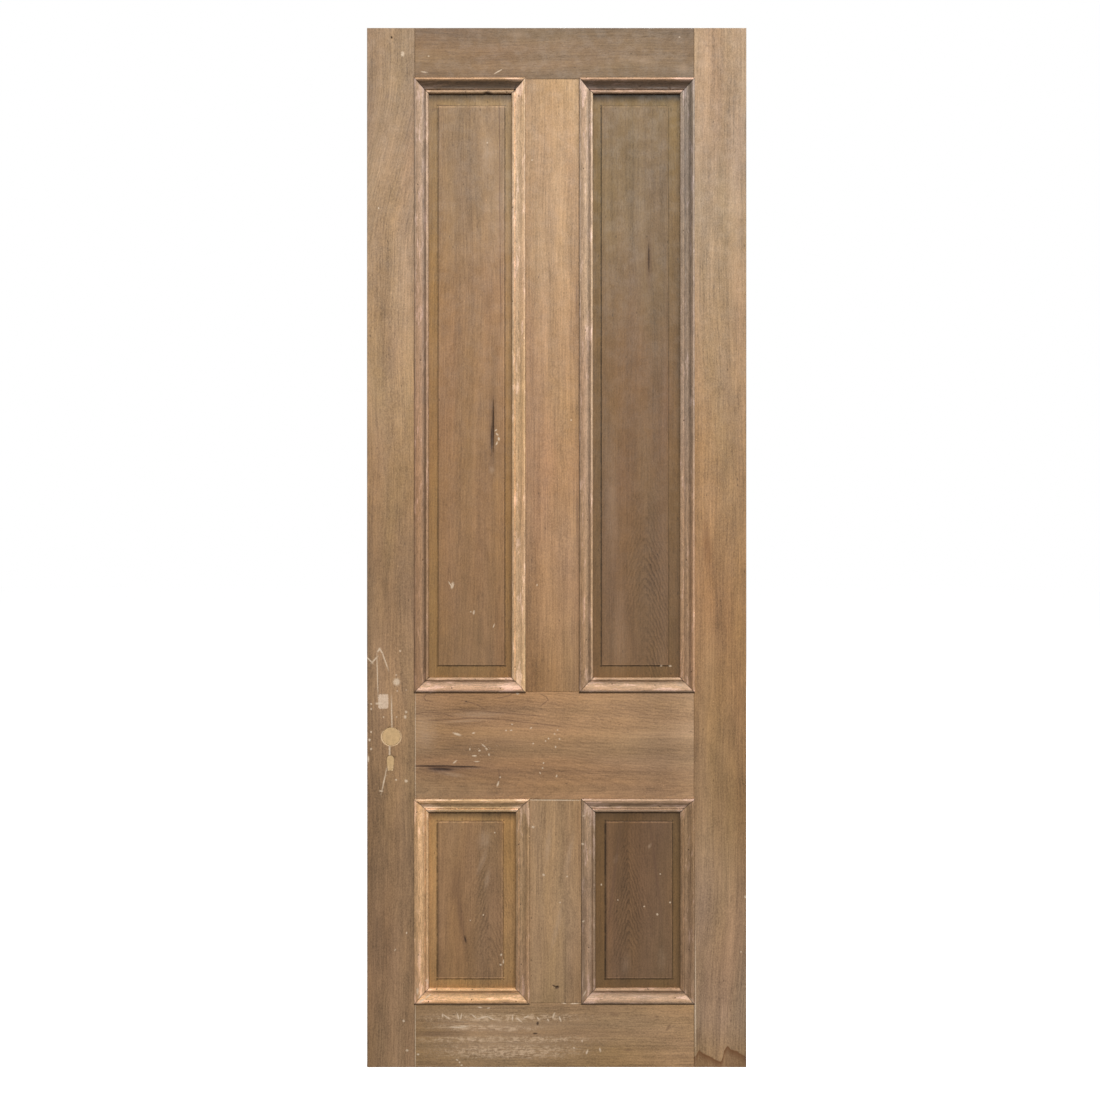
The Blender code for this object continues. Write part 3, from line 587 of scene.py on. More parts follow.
def opening_edges(opening):
    """The left, right, bottom and top edge of an opening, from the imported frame."""
    level, hand = opening.split("_")
    muntin = f"{level}_muntin"
    left_board, right_board = ("lock_stile", muntin) if hand == "left" else (muntin, "hinge_stile")
    low_rail, high_rail = ("lock_rail", "top_rail") if level == "upper" else ("bottom_rail", "lock_rail")
    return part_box(left_board)[1].x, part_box(right_board)[0].x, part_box(low_rail)[1].z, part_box(high_rail)[0].z


def make_object(bm, name):
    bmesh.ops.recalc_face_normals(bm, faces=bm.faces)
    mesh = bpy.data.meshes.new(name)
    bm.to_mesh(mesh)
    bm.free()
    return bpy.data.objects.new(name, mesh)


def finish_piece(bm, node, sharp_angle, material):
    """Makes a node's piece from its mesh and puts it on the leaf in the node's place."""
    obj = make_object(bm, f"worn_{node}")
    obj.data.shade_smooth()
    obj.data.set_sharp_from_angle(angle=sharp_angle)
    obj.data.materials.append(material)
    bpy.context.scene.collection.objects.link(obj)
    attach(obj, "root")
    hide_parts(node)


def carried(node):
    """A merged copy of a node's mesh, its flat faces joined again."""
    bm = bmesh.new()
    bm.from_mesh(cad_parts[node].data)
    bmesh.ops.remove_doubles(bm, verts=bm.verts, dist=MERGE_DISTANCE)
    bmesh.ops.dissolve_limit(bm, angle_limit=FLAT_ANGLE, verts=bm.verts, edges=bm.edges)
    return bm


def bevel_edges(bm, edges, width):
    options = {"segments": 2, "profile": 0.5, "affect": "EDGES", "material": -1, "clamp_overlap": True}
    bmesh.ops.bevel(bm, geom=edges, offset=width, **options)


def arrises(bm, depths):
    """The long edges at the given depths where a face turns away from the front or the back."""
    found = []
    for edge in bm.edges:
        ends = [vert.co.y for vert in edge.verts]
        level = any(all(abs(end - depth) < MERGE_DISTANCE for end in ends) for depth in depths)
        if level and edge.calc_length() > SHORTEST_ARRIS and len(edge.link_faces) == 2:
            facing = sorted(abs(face.normal.y) for face in edge.link_faces)
            if facing[0] < 0.9 < facing[1]:
                found.append(edge)
    return found


def stations(low, high, step, edge_step, fine_spans, fine_step):
    """Places to cut between two ends: near both, evenly between them, and closely over the fine spans."""
    count = max(1, round((high - low) / step))
    places = [low + (high - low) * index / count for index in range(1, count)]
    places += [low + edge_step, high - edge_step]
    for start, end in fine_spans:
        closer = max(1, round((end - start) / fine_step))
        places += [start + (end - start) * index / closer for index in range(closer + 1)]
    kept = []
    for place in sorted(places):
        inside = low + CLOSEST_CUTS < place < high - CLOSEST_CUTS
        if inside and (not kept or place - kept[-1] > CLOSEST_CUTS):
            kept.append(place)
    return kept


def slice_mesh(bm, axis, places):
    """Cuts the whole mesh across an axis at each place, from the lowest up."""
    left = list(bm.faces)
    for place in places:
        edges = {edge for face in left for edge in face.edges}
        verts = {vert for face in left for vert in face.verts}
        made = bmesh.ops.bisect_plane(
            bm, geom=[*verts, *edges, *left], dist=CUT_TOLERANCE, plane_co=axis * place, plane_no=axis
        )["geom"]
        faces = [item for item in made if isinstance(item, bmesh.types.BMFace)]
        left = [face for face in faces if face.calc_center_median().dot(axis) > place]


def hollows_of(node):
    """Each hollow in a piece: both ends on its face, half width and depth, in metres."""
    sizes = bpy.context.scene.door_sizes
    found = []
    for x0, y0, x1, y1, wide, deep in HOLLOWS.get(node, ()):
        found.append((spot(x0, y0), spot(x1, y1), wide / 1000, deep / 1000))
    for x, y in NAIL_HOLES.get(node, ()):
        found.append((spot(x, y), spot(x, y), sizes.nail_radius, sizes.nail_depth))
    return found


def fine_spans(hollows, axis):
    """Where along an axis the hollows lie, with a little to spare."""
    spans = []
    for start, end, wide, _ in hollows:
        low, high = sorted((start.dot(axis), end.dot(axis)))
        spans.append((low - wide * 1.2, high + wide * 1.2))
    return spans


def hollow_depth(point, hollows):
    """How deep the hollows go at a point of the face."""
    deepest = 0.0
    for start, end, wide, deep in hollows:
        run = Vector((end.x - start.x, 0, end.z - start.z))
        out = Vector((point.x - start.x, 0, point.z - start.z))
        share = min(1, max(0, out.dot(run) / run.length_squared)) if run.length_squared else 0.0
        gap = (out - run * share).length
        taper = 1.0 if run.length < LONG_HOLLOW else 0.35 + 0.65 * math.sin(math.pi * share) ** 0.6
        rough = 1 + 0.35 * noise.noise(Vector((point.x * 160, 3.1, point.z * 160)))
        reach = wide * taper * rough
        if gap < reach * 1.15:
            deepest = max(deepest, deep * taper * rough * (1 - (gap / (reach * 1.15)) ** 2))
    return deepest


def wobble(point, seed, scale):
    return noise.noise(Vector((point.x * scale.x + seed, point.y * scale.y + seed * 1.7, point.z * scale.z)))


def cut_up(bm, node, axes):
    """Slices a board or panel along its axes, closely where it has a hollow, and returns its hollows."""
    sizes = bpy.context.scene.door_sizes
    hollows = hollows_of(node)
    low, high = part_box(node)
    for axis in axes:
        ends = low.dot(axis), high.dot(axis)
        spans = fine_spans(hollows, axis)
        slice_mesh(bm, axis, stations(*ends, sizes.board_step, sizes.edge_step, spans, sizes.fine_step))
    return hollows


def make_board(node, seed):
    """A frame board with rounded, worn arrises, an uneven face and its cracks."""
    sizes = bpy.context.scene.door_sizes
    bm = carried(node)
    bevel_edges(bm, arrises(bm, (FRONT, BACK)), sizes.arris)
    along, across = (UP, RIGHT) if node in UPRIGHTS else (RIGHT, UP)
    hollows = cut_up(bm, node, (across, along))
    slow = across * 14 + along * 2.5
    quick = across * 60 + along * 45
    for vert in bm.verts:
        point = vert.co.copy()
        at_front = point.y < FRONT + sizes.arris * 1.5
        at_back = point.y > BACK - sizes.arris * 1.5
        if not (at_front or at_back):
            continue
        inward = 1 if at_front else -1
        swell = sizes.unevenness * (0.5 + 0.5 * wobble(point, seed, slow))
        on_arris = FRONT + MERGE_DISTANCE < point.y < BACK - MERGE_DISTANCE
        eaten = sizes.arris_wear * max(0, wobble(point, seed + 9, quick) - 0.1) if on_arris else 0
        vert.co.y += inward * (swell + eaten)
        if at_front and not on_arris:
            vert.co.y += hollow_depth(point, hollows)
    finish_piece(bm, node, BOARD_SHARP_ANGLE, board_material(node, seed))


def make_panel(opening, seed):
    """A raised panel whose field has a worn arris."""
    sizes = bpy.context.scene.door_sizes
    node = f"{opening}_panel"
    bm = carried(node)
    bevel_edges(bm, arrises(bm, (FIELD_FRONT,)), sizes.field_arris)
    hollows = cut_up(bm, node, (RIGHT, UP))
    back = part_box(node)[1].y
    for vert in bm.verts:
        point = vert.co.copy()
        swell = sizes.unevenness * (1 + wobble(point, seed, Vector((16, 0, 2.2))))
        vert.co.y += -swell if point.y > back - MERGE_DISTANCE else swell
        if FIELD_FRONT + MERGE_DISTANCE < point.y < FIELD_FRONT + sizes.field_arris * 1.1:
            vert.co.y += 0.5 * sizes.arris_wear * max(0, wobble(point, seed, Vector((55, 0, 55))))
        elif point.y < FIELD_FRONT + MERGE_DISTANCE:
            vert.co.y += hollow_depth(point, hollows)
    finish_piece(bm, node, BOARD_SHARP_ANGLE, panel_material(opening, seed))


def make_strip(node, side, seed, material):
    """A length of moulding, rubbed and dented along its run, with its nail holes."""
    sizes = bpy.context.scene.door_sizes
    bm = carried(node)
    along, across = (RIGHT, UP) if side in LEVEL_SIDES else (UP, RIGHT)
    hollows = hollows_of(node)
    low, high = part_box(node)
    cuts = ((along, sizes.strip_step, STRIP_EDGE_STEP), (across, STRIP_ACROSS_STEP, STRIP_ACROSS_EDGE_STEP))
    for axis, step, edge_step in cuts if hollows else cuts[:1]:
        ends = low.dot(axis), high.dot(axis)
        slice_mesh(bm, axis, stations(*ends, step, edge_step, fine_spans(hollows, axis), STRIP_FINE_STEP))
    scale = along * 26 + across * 120
    scale.y = 120
    slow = along * 1.6 + Vector((0, 3, 0))
    for vert in bm.verts:
        point = vert.co.copy()
        rub = sizes.strip_wear * max(0, wobble(point, seed, scale) + 0.25)
        outward = -1 if point.y < 0 else 1
        vert.co.y -= outward * rub
        vert.co += across * sizes.strip_wear * 0.8 * wobble(point, seed + 5, slow)
        if outward < 0:
            vert.co.y += hollow_depth(point, hollows)
    finish_piece(bm, node, MOULDING_SHARP_ANGLE, material)


def make_plug(node, seed):
    """A filled hole, its face slightly uneven and its rim rounded."""
    bm = carried(node)
    bm.normal_update()
    face = min(bm.faces, key=lambda item: item.calc_center_median().y)
    bevel_edges(bm, list(face.edges), PLUG_RIM)
    face = min(bm.faces, key=lambda item: (round(item.calc_center_median().y, 5), -item.calc_area()))
    for _ in range(3):
        bmesh.ops.inset_region(bm, faces=[face], thickness=PLUG_INSET, use_even_offset=True)
    bmesh.ops.poke(bm, faces=[face])
    for vert in bm.verts:
        if vert.co.y < FRONT + 0.0006:
            vert.co.y += PLUG_UNEVENNESS * wobble(vert.co, seed, Vector((190, 0, 190)))
    finish_piece(bm, node, MOULDING_SHARP_ANGLE, plug_material(node))


def node(kind, inputs=(), tree=None, **settings):
    """A shader node in the tree that its inputs come from: values or sockets, by name or in order."""
    items = list(inputs.items() if isinstance(inputs, dict) else enumerate(inputs))
    sockets = [value for _, value in items if isinstance(value, bpy.types.NodeSocket)]
    tree = tree or sockets[0].id_data
    made = tree.nodes.new("ShaderNode" + kind)
    for name, value in settings.items():
        setattr(made, name, value)
    for key, value in items:
        if isinstance(value, bpy.types.NodeSocket):
            tree.links.new(value, made.inputs[key])
        elif value is not None:
            made.inputs[key].default_value = value
    return made


def join(value, socket):
    socket.id_data.links.new(value, socket)


def sums(operation, *inputs):
    return node("Math", inputs, operation=operation).outputs[0]


def times(*values):
    return reduce(lambda first, second: sums("MULTIPLY", first, second), values)


def plus(*values):
    return reduce(lambda first, second: sums("ADD", first, second), values)


def less(value, taken):
    return sums("SUBTRACT", value, taken)


def scaled(value, factor, added):
    return sums("MULTIPLY_ADD", value, factor, added)


def most(*values):
    return reduce(lambda first, second: sums("MAXIMUM", first, second), values)


def least(first, second):
    return sums("MINIMUM", first, second)


def vectors(operation, *inputs):
    return node("VectorMath", inputs, operation=operation).outputs[0]


def parts(vector):
    return node("SeparateXYZ", (vector,)).outputs


def packed(x, y, z):
    return node("CombineXYZ", (x, y, z)).outputs[0]


def spread(value, low, high, to_low=0.0, to_high=1.0, kind="SMOOTHSTEP"):
    """Maps a value from one range to another, clamped."""
    return node("MapRange", (value, low, high, to_low, to_high), interpolation_type=kind).outputs[0]


def blended(share, first, second, **settings):
    return node("Mix", {0: share, 6: first, 7: second}, data_type="RGBA", **settings).outputs[2]


def noise_at(vector, scale, detail=2.0, roughness=0.5, output=0):
    """Noise at a vector; the scale is one number, or one for each axis."""
    stretched = vectors("MULTIPLY", vector, scale if isinstance(scale, tuple) else (scale,) * 3)
    inputs = {"Vector": stretched, "Scale": 1.0, "Detail": detail, "Roughness": roughness}
    return node("TexNoise", inputs).outputs[output]


def swing(vector, scale, detail=2.0, roughness=0.5):
    """Noise that swings about nought."""
    return less(noise_at(vector, scale, detail, roughness), 0.5)


def new_group(name, inputs, outputs):
    """An empty node group: the sockets that it is given, and those that it puts out."""
    tree = bpy.data.node_groups.new(name, "ShaderNodeTree")
    for label, default in inputs.items():
        kind = "Float" if isinstance(default, float) else "Vector"
        socket = tree.interface.new_socket(label, in_out="INPUT", socket_type="NodeSocket" + kind)
        if default is not None:
            socket.default_value = default
    for label in outputs:
        kind = "Color" if label == "Colour" else "Float"
        tree.interface.new_socket(label, in_out="OUTPUT", socket_type="NodeSocket" + kind)
    return tree.nodes.new("NodeGroupInput").outputs, tree.nodes.new("NodeGroupOutput").inputs


def grouped(name, inputs):
    return node("Group", inputs, node_tree=bpy.data.node_groups[name]).outputs


def build_grain():
    """Streaks, growth rings and pores of wood whose grain runs along Z."""
    inputs = {
        "Vector": None, "Wander": 0.04, "Ring Centre": (0.1, 0.0, 0.0), "Ring Taper": 0.03,
        "Ring Spacing": 0.007, "Streaks": 0.3, "Rings": 0.2, "Pores": 0.2,
    }
    given, out = new_group("Wood Grain", inputs, ("Shade", "Warmth", "Yellowness", "Height"))
    drift = vectors("SUBTRACT", noise_at(given["Vector"], (5, 5, 1.5), 2, output=1), (0.5, 0.5, 0.5))
    reach = packed(given["Wander"], given["Wander"], 0.0)
    path = vectors("ADD", given["Vector"], vectors("MULTIPLY", drift, reach))
    layers = (
        ((20, 20, 0.8), 2, 0.5, 1.1), ((70, 70, 2.2), 3, 0.55, 0.5), ((190, 190, 3.5), 2, 0.6, 0.55),
        ((430, 430, 8), 2, 0.65, 1.05), ((30, 30, 14), 4, 0.6, 0.9), ((360, 360, 240), 2, 0.75, 1.5),
    )
    streaks = 0.0
    made = []
    for scale, detail, roughness, strength in layers:
        made.append(noise_at(path, scale, detail, roughness))
        streaks = scaled(less(made[-1], 0.5), strength, streaks)
    x, y, z = parts(vectors("SUBTRACT", path, given["Ring Centre"]))
    radius = sums("SQRT", plus(sums("POWER", x, 2), sums("POWER", y, 2)))
    radius = scaled(z, given["Ring Taper"], radius)
    ripple = times(noise_at(path, (16, 16, 7), 3, 0.6), 0.012)
    ripple = scaled(noise_at(path, (80, 80, 60), 3, 0.65), 0.012, ripple)
    phase = sums("FRACT", sums("DIVIDE", plus(radius, ripple), given["Ring Spacing"]))
    ring = times(spread(phase, 0.30, 0.80), spread(phase, 0.84, 1.0, 1.0, 0.0))
    ring = times(ring, spread(noise_at(path, (9, 9, 2.5), 2), 0.32, 0.54))
    pores = spread(noise_at(path, (900, 900, 70), 1), 0.60, 0.74)
    lit = less(scaled(streaks, given["Streaks"], 1.0), times(ring, given["Rings"]))
    join(less(lit, times(pores, given["Pores"])), out["Shade"])
    join(swing(path, (10, 10, 1.6), 2), out["Warmth"])
    join(swing(vectors("ADD", path, (3.1, 5.7, 1.9)), (14, 14, 2.6), 2), out["Yellowness"])
    join(less(made[3], plus(times(ring, 0.5), pores)), out["Height"])


def build_mark():
    """A spot at one place of the front, round or square; Edge makes its outline ragged."""
    inputs = {
        "Vector": None, "Edge": 0.0, "Place": None, "Half Size": (0.01, 1, 0.01), "Turn": 0.0,
        "Softness": 0.3, "Squareness": 2.0,
    }
    given, out = new_group("Mark", inputs, ("Mask",))
    turned = {"Vector": vectors("SUBTRACT", given["Vector"], given["Place"]), "Angle": given["Turn"]}
    turned = node("VectorRotate", turned, rotation_type="Y_AXIS").outputs[0]
    x, _, z = parts(vectors("ABSOLUTE", vectors("DIVIDE", turned, given["Half Size"])))
    power = given["Squareness"]
    total = plus(sums("POWER", x, power), sums("POWER", z, power))
    reach = plus(sums("POWER", total, sums("DIVIDE", 1.0, power)), given["Edge"])
    ends = less(1.0, given["Softness"]), plus(1.0, given["Softness"])
    join(spread(reach, *ends, 1.0, 0.0), out["Mask"])


def build_specks():
    """Scattered specks, drawn out along Z by the stretch."""
    inputs = {"Vector": None, "Scale": 60.0, "Stretch": 1.0, "Amount": 0.1, "Size": 0.3}
    given, out = new_group("Specks", inputs, ("Mask",))
    squeezed = vectors("MULTIPLY", given["Vector"], packed(1.0, 1.0, given["Stretch"]))
    cells = node("TexVoronoi", {"Vector": squeezed, "Scale": given["Scale"]}).outputs
    chosen = sums("LESS_THAN", node("SeparateColor", (cells["Color"],)).outputs[0], given["Amount"])
    near = spread(cells["Distance"], times(given["Size"], 0.5), given["Size"], 1.0, 0.0)
    join(times(chosen, near), out["Mask"])


def build_wood_colour():
    """The colour of bare wood from its brightness, its warmth and its yellowness."""
    colours = bpy.context.scene.door_colours
    given, out = new_group("Wood Colour", {"Brightness": 0.4, "Warmth": 0.5, "Yellowness": 0.0}, ("Colour",))
    warmth = spread(given["Warmth"], -0.6, 1.6, -0.6, 1.6, "LINEAR")
    tone = blended(warmth, (*colours.cool_wood, 1), (*colours.warm_wood, 1), clamp_factor=False)
    cast = blended(given["Yellowness"], (1, 1, 1, 1), (*colours.yellow_cast, 1), clamp_factor=False)
    gain = times(given["Brightness"], 2.0)
    join(vectors("MULTIPLY", vectors("MULTIPLY", tone, packed(gain, gain, gain)), cast), out["Colour"])


def new_material(name):
    """A material, its shader and the coordinates of its piece."""
    material = bpy.data.materials.new(name)
    material.use_nodes = True
    shader = material.node_tree.nodes["Principled BSDF"]
    shader.inputs["Metallic"].default_value = 0
    shader.inputs["Specular IOR Level"].default_value = 0.35
    return material, shader, node("TexCoord", tree=material.node_tree).outputs["Object"]


def grain_vector(place, turn, offset):
    """The piece's own coordinates turned so that its grain runs along Z."""
    return node("Mapping", {"Vector": place, "Rotation": (0, turn, 0), "Location": offset}).outputs[0]


def stepped(value, low, high, stops):
    """Up to three values at a place between two ends, from stops whose values lie between -0.5 and 2."""
    ramp = node("ValToRGB", (spread(value, low, high, kind="LINEAR"),))
    ramp.color_ramp.interpolation = "EASE"
    elements = ramp.color_ramp.elements
    while len(elements) < len(stops):
        elements.new(0.5)
    for element, (position, *values) in zip(elements, stops):
        element.position = position
        element.color = (*[(value + 0.5) / 2.5 for value in (*values, 0, 0, 0)[:3]], 1)
    found = node("SeparateColor", (ramp.outputs[0],)).outputs
    return [scaled(found[index], 2.5, -0.5) for index in range(len(stops[0]) - 1)]


def mark_mask(place, marks, softness, raggedness, squareness=2.0):
    """The masks of several marks as one; raggedness moves their outlines in and out."""
    mask = 0.0
    for middle, half_wide, half_high, turn in marks:
        inputs = {
            "Vector": place, "Edge": raggedness, "Place": middle, "Half Size": (half_wide, 1000, half_high),
            "Turn": math.radians(turn), "Softness": softness, "Squareness": squareness,
        }
        mask = most(mask, grouped("Mark", inputs)[0])
    return mask


def bar(start, end, past_end, half_wide):
    """The mark that a straight line between two photograph pixels makes."""
    start, end = spot(*start), spot(*end)
    run = end - start
    return (start + end) / 2, run.length / 2 + past_end, half_wide, math.degrees(math.atan2(run.z, run.x))


def piece_marks(name):
    """The marks of a piece by kind: middle, half width, half height and turn, in metres and degrees."""
    found = {"line": [], "vein": []}
    for kind, marks in SPOTS.get(name, {}).items():
        size = PIXEL * (PAINT_SIZE if kind == "paint" else 1)
        found[kind] = [(spot(x, y), w * size, h * size, -sum(turn)) for x, y, w, h, *turn in marks]
    for x0, y0, x1, y1, wide in PAINT_LINES.get(name, ()):
        found["line"].append(bar((x0, y0), (x1, y1), wide * PIXEL, wide * PIXEL))
    for line in VEINS.get(name, ()):
        found["vein"] += [bar(*ends, VEIN_OVERLAP, VEIN_HALF_WIDTH) for ends in zip(line, line[1:])]
    nail = bpy.context.scene.door_sizes.nail_radius
    found["nail"] = [(spot(x, y), nail * 1.15, nail * 1.3, 0) for x, y in NAIL_HOLES.get(name, ())]
    return {kind: marks for kind, marks in found.items() if marks}


def add_marks(place, name, colour):
    """Lays the marks of a piece over its colour, on its front only."""
    colours = bpy.context.scene.door_colours
    marks = piece_marks(name)
    if not marks:
        return colour
    front = sums("LESS_THAN", parts(place)[1], 0.0)
    along = (45, 45, 420) if name.startswith(RAILS) else (420, 45, 45)
    ragged = swing(place, 650, 3, 0.6)
    torn = swing(place, 190, 4, 0.7)
    crusty = spread(noise_at(place, 750, 2, 0.7), 0.34, 0.54, 0.35, 1.0)
    streaky = noise_at(place, along, 4, 0.7)
    broken = spread(scaled(noise_at(place, 90, 4, 0.7), 0.8, streaky), 0.86, 0.96)
    veined = spread(streaky, 0.38, 0.60, 0.45, 1.0)
    bitty = spread(noise_at(place, 330, 3, 0.75), 0.63, 0.67)
    looks = {
        "smear": (colours.smear, 0.95, (ragged, 0.6), 2.0, 0.45, None),
        "stain": (colours.stain, 0.95, (torn, 0.9), 2.0, 0.50, None),
        "haze": (colours.haze, 0.95, (torn, 1.6), 2.0, 0.36, veined),
        "bloom": (colours.haze, 0.95, (torn, 1.6), 2.0, 0.15, veined),
        "scuff": (colours.scuff, 0.55, (torn, 2.2), 3.0, 0.72, broken),
        "vein": (colours.smear, 0.9, (ragged, 1.2), 6.0, 0.60, None),
        "split": (colours.smear, 0.5, (ragged, 0.6), 2.0, 0.80, veined),
        "patch": (colours.patch, 0.07, (ragged, 0.45), 7.0, 0.95, crusty),
        "lip": (colours.lip, 0.06, (ragged, 0.1), 2.0, 0.95, None),
        "line": (colours.paint, 0.6, (ragged, 1.4), 6.0, 0.88, crusty),
        "bits": (colours.paint, 0.9, (torn, 1.0), 2.0, 0.85, bitty),
        "paint": (colours.paint, 0.5, (ragged, 1.7), 2.0, 0.90, crusty),
        "crack": (colours.crack, 0.5, (ragged, 1.0), 2.0, 0.85, None),
        "nail": (colours.crack, 0.4, (ragged, 0.6), 2.0, 0.75, None),
    }
    for kind in (kind for kind in looks if kind in marks):
        tint, softness, edge, squareness, strength, texture = looks[kind]
        mask = mark_mask(place, marks[kind], softness, times(*edge), squareness)
        mask = times(mask, front, strength)
        if texture is not None:
            mask = times(mask, texture)
        colour = blended(mask, colour, (*tint, 1))
    return colour


def add_tide(place, colour):
    """The water stain at the foot of the hinge stile: a dark jagged line, with brown wood below it."""
    stain = bpy.context.scene.door_colours.stain
    points = [spot(x, y) for x, y in TIDE_LINE]
    first, last = points[0].x, points[-1].x
    x, y, z = parts(place)
    curve = node("FloatCurve", {"Value": spread(x, first, last, kind="LINEAR")})
    line = curve.mapping.curves[0]
    while len(line.points) < len(points):
        line.points.new(0.5, 0.5)
    for made, point in zip(line.points, points):
        made.location = ((point.x - first) / (last - first), (point.z - CAD_LOW.z) / TIDE_REACH)
        made.handle_type = "VECTOR"
    curve.mapping.update()
    ragged = times(swing(place, 260, 4, 0.7), 0.007)
    above = plus(less(z, scaled(curve.outputs[0], TIDE_REACH, CAD_LOW.z)), ragged)
    dark = spread(sums("ABSOLUTE", above), 0.0014, 0.0046, 0.88, 0.0)
    second = spread(sums("ABSOLUTE", plus(above, 0.013)), 0.0010, 0.0050, 0.50, 0.0)
    wet = times(spread(above, -0.001, 0.0015, 1.0, 0.0), spread(above, -0.016, -0.003, 0.34, 0.74))
    share = times(most(dark, second, wet), sums("LESS_THAN", y, 0.0))
    return blended(share, colour, (*stain, 1))


def finish_wood(shader, place, tone, grain, vector, name, roughness=0.62, bump=0.35):
    """Brings the tone, grain and marks of a piece together in its shader."""
    brightness, warmth, yellowness = tone
    specks = grouped("Specks", {"Vector": place, "Scale": 75.0, "Amount": 0.05, "Size": 0.13})[0]
    aside = vectors("ADD", vector, (5.3, 2.1, 7.7))
    flecks = {"Vector": aside, "Scale": 120.0, "Stretch": 0.4, "Amount": 0.045, "Size": 0.20}
    flecks = grouped("Specks", flecks)[0]
    factors = grain["Shade"], scaled(specks, 0.40, 1.0), scaled(flecks, -0.42, 1.0)
    inputs = {
        "Brightness": times(brightness, *factors),
        "Warmth": scaled(grain["Warmth"], 0.95, warmth),
        "Yellowness": scaled(grain["Yellowness"], 1.0, yellowness),
    }
    colour = grouped("Wood Colour", inputs)[0]
    if name == TIDE_BOARD:
        colour = add_tide(place, colour)
    join(add_marks(place, name, colour), shader.inputs["Base Color"])
    rough = spread(noise_at(place, 40, 3), 0.3, 0.7, roughness - 0.07, roughness + 0.08)
    join(rough, shader.inputs["Roughness"])
    raised = node("Bump", {"Strength": bump, "Distance": 0.0006, "Height": grain["Height"]})
    join(raised.outputs[0], shader.inputs["Normal"])


def wood_grain(place, vector, name, seed):
    """The grain of a board or of an opening's panel."""
    wander, streaks, rings, pores = GRAINS[name]
    if name in FIGURES:
        x, y, wide, high = FIGURES[name]
        ragged = swing(place, (30, 30, 16), 3, 0.6)
        shown = mark_mask(place, ((spot(x, y), wide * PIXEL, high * PIXEL, 0),), 0.6, ragged)
        rings = scaled(shown, rings, 0.04)
    across, depth, taper, spacing = RINGS[name]
    face = FIELD_FRONT if name in OPENINGS else FRONT
    if name in GRAIN_SLANTS:
        start, end, shift = GRAIN_SLANTS[name]
        middle = (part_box(name)[0].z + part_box(name)[1].z) / 2
        ends = spot(0, start).z - middle, spot(0, end).z - middle
        aside = spread(parts(vector)[2], *ends, 0.0, -shift * PIXEL)
        vector = vectors("ADD", vector, packed(aside, 0.0, 0.0))
    inputs = {
        "Vector": vector, "Wander": wander, "Ring Centre": (across, seed * SEED_SHIFT + face + depth, 0.0),
        "Ring Taper": taper, "Ring Spacing": spacing, "Streaks": streaks, "Rings": rings, "Pores": pores,
    }
    return grouped("Wood Grain", inputs)


def strip_grain(vector, spacing, streaks, rings, pores):
    """The grain of a length of moulding."""
    inputs = {
        "Vector": vector, "Wander": 0.01, "Ring Centre": (0.08, 0.02, 0.0), "Ring Taper": 0.0,
        "Ring Spacing": spacing, "Streaks": streaks, "Rings": rings, "Pores": pores,
    }
    return grouped("Wood Grain", inputs)


def board_material(name, seed):
    """Stripped wood for one board of the frame."""
    material, shader, place = new_material(f"{name}_old_wood")
    low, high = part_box(name)
    middle = (low + high) / 2
    x, _, z = parts(place)
    along, across = (z, low.z, high.z), (x, low.x, high.x)
    if name in UPRIGHTS:
        vector = grain_vector(place, 0, (-middle.x, seed * SEED_SHIFT, -middle.z))
    else:
        vector = grain_vector(place, -math.pi / 2, (middle.z, seed * SEED_SHIFT, -middle.x))
        along, across = across, along
    brightness, warmth, yellowness = stepped(*along, BOARD_TONES[name])
    brightness = times(brightness, stepped(*across, BOARD_SWEEPS[name])[0])
    grain = wood_grain(place, vector, name, seed)
    finish_wood(shader, place, (brightness, warmth, yellowness), grain, vector, name)
    return material


def field_edges(opening):
    """The left, right, bottom and top edge of a panel's raised field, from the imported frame."""
    points = [vert.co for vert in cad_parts[f"{opening}_panel"].data.vertices]
    raised = [point for point in points if point.y < FIELD_FRONT + MERGE_DISTANCE]
    xs = [point.x for point in raised]
    zs = [point.z for point in raised]
    return min(xs), max(xs), min(zs), max(zs)


def field_lines(place, opening, inward, nearest):
    """How bright the dark lines round a raised field, dirt and painted shade at its foot, and the painted
    highlight on its arris leave the wood.
    """
    worn = noise_at(place, 55, 3, 0.65)
    drawn = scaled(swing(place, 110, 4, 0.7), 0.0028, 0.0006)
    dark, pale = 0.0, 0.0
    for depth, strength, highlight, reach in zip(inward, *FIELD_LINES[opening]):
        # The dark line at the field's foot: dirt and painted shade
        gap = sums("ABSOLUTE", plus(depth, drawn))
        dark = most(dark, spread(gap, 0.0004, reach / 1000, strength, 0.0))
        # The pale line is a painted highlight along the field's arris
        gap = sums("ABSOLUTE", plus(less(depth, 0.0024), drawn))
        pale = most(pale, spread(gap, 0.0006, 0.0026, highlight, 0.0))
    within = spread(nearest, -0.0050, -0.0025)
    dark = times(dark, within, spread(worn, 0.35, 0.55, 0.6, 1.0))
    pale = times(pale, within, spread(worn, 0.38, 0.56, 0.20, 0.62))
    return plus(scaled(dark, -0.78, 1.0), pale)


def margin_shade(place, opening, top_shade):
    """How bright the painted shade along the mouldings leaves a panel's margin."""
    x, _, z = parts(place)
    left, right, _, top = opening_edges(opening)
    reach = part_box(f"{opening}_moulding_left")[1].x - left
    uneven = times(swing(place, 70, 3), 0.004)
    painted_shade = spread(plus(less(top - reach, z), uneven), 0.0, 0.026, top_shade, 1.0)
    painted_shade = times(painted_shade, spread(plus(less(right - reach, x), uneven), 0.0, 0.011, 0.72, 1.0))
    return times(painted_shade, spread(plus(less(x, left + reach), uneven), 0.0, 0.004, 0.86, 1.0))


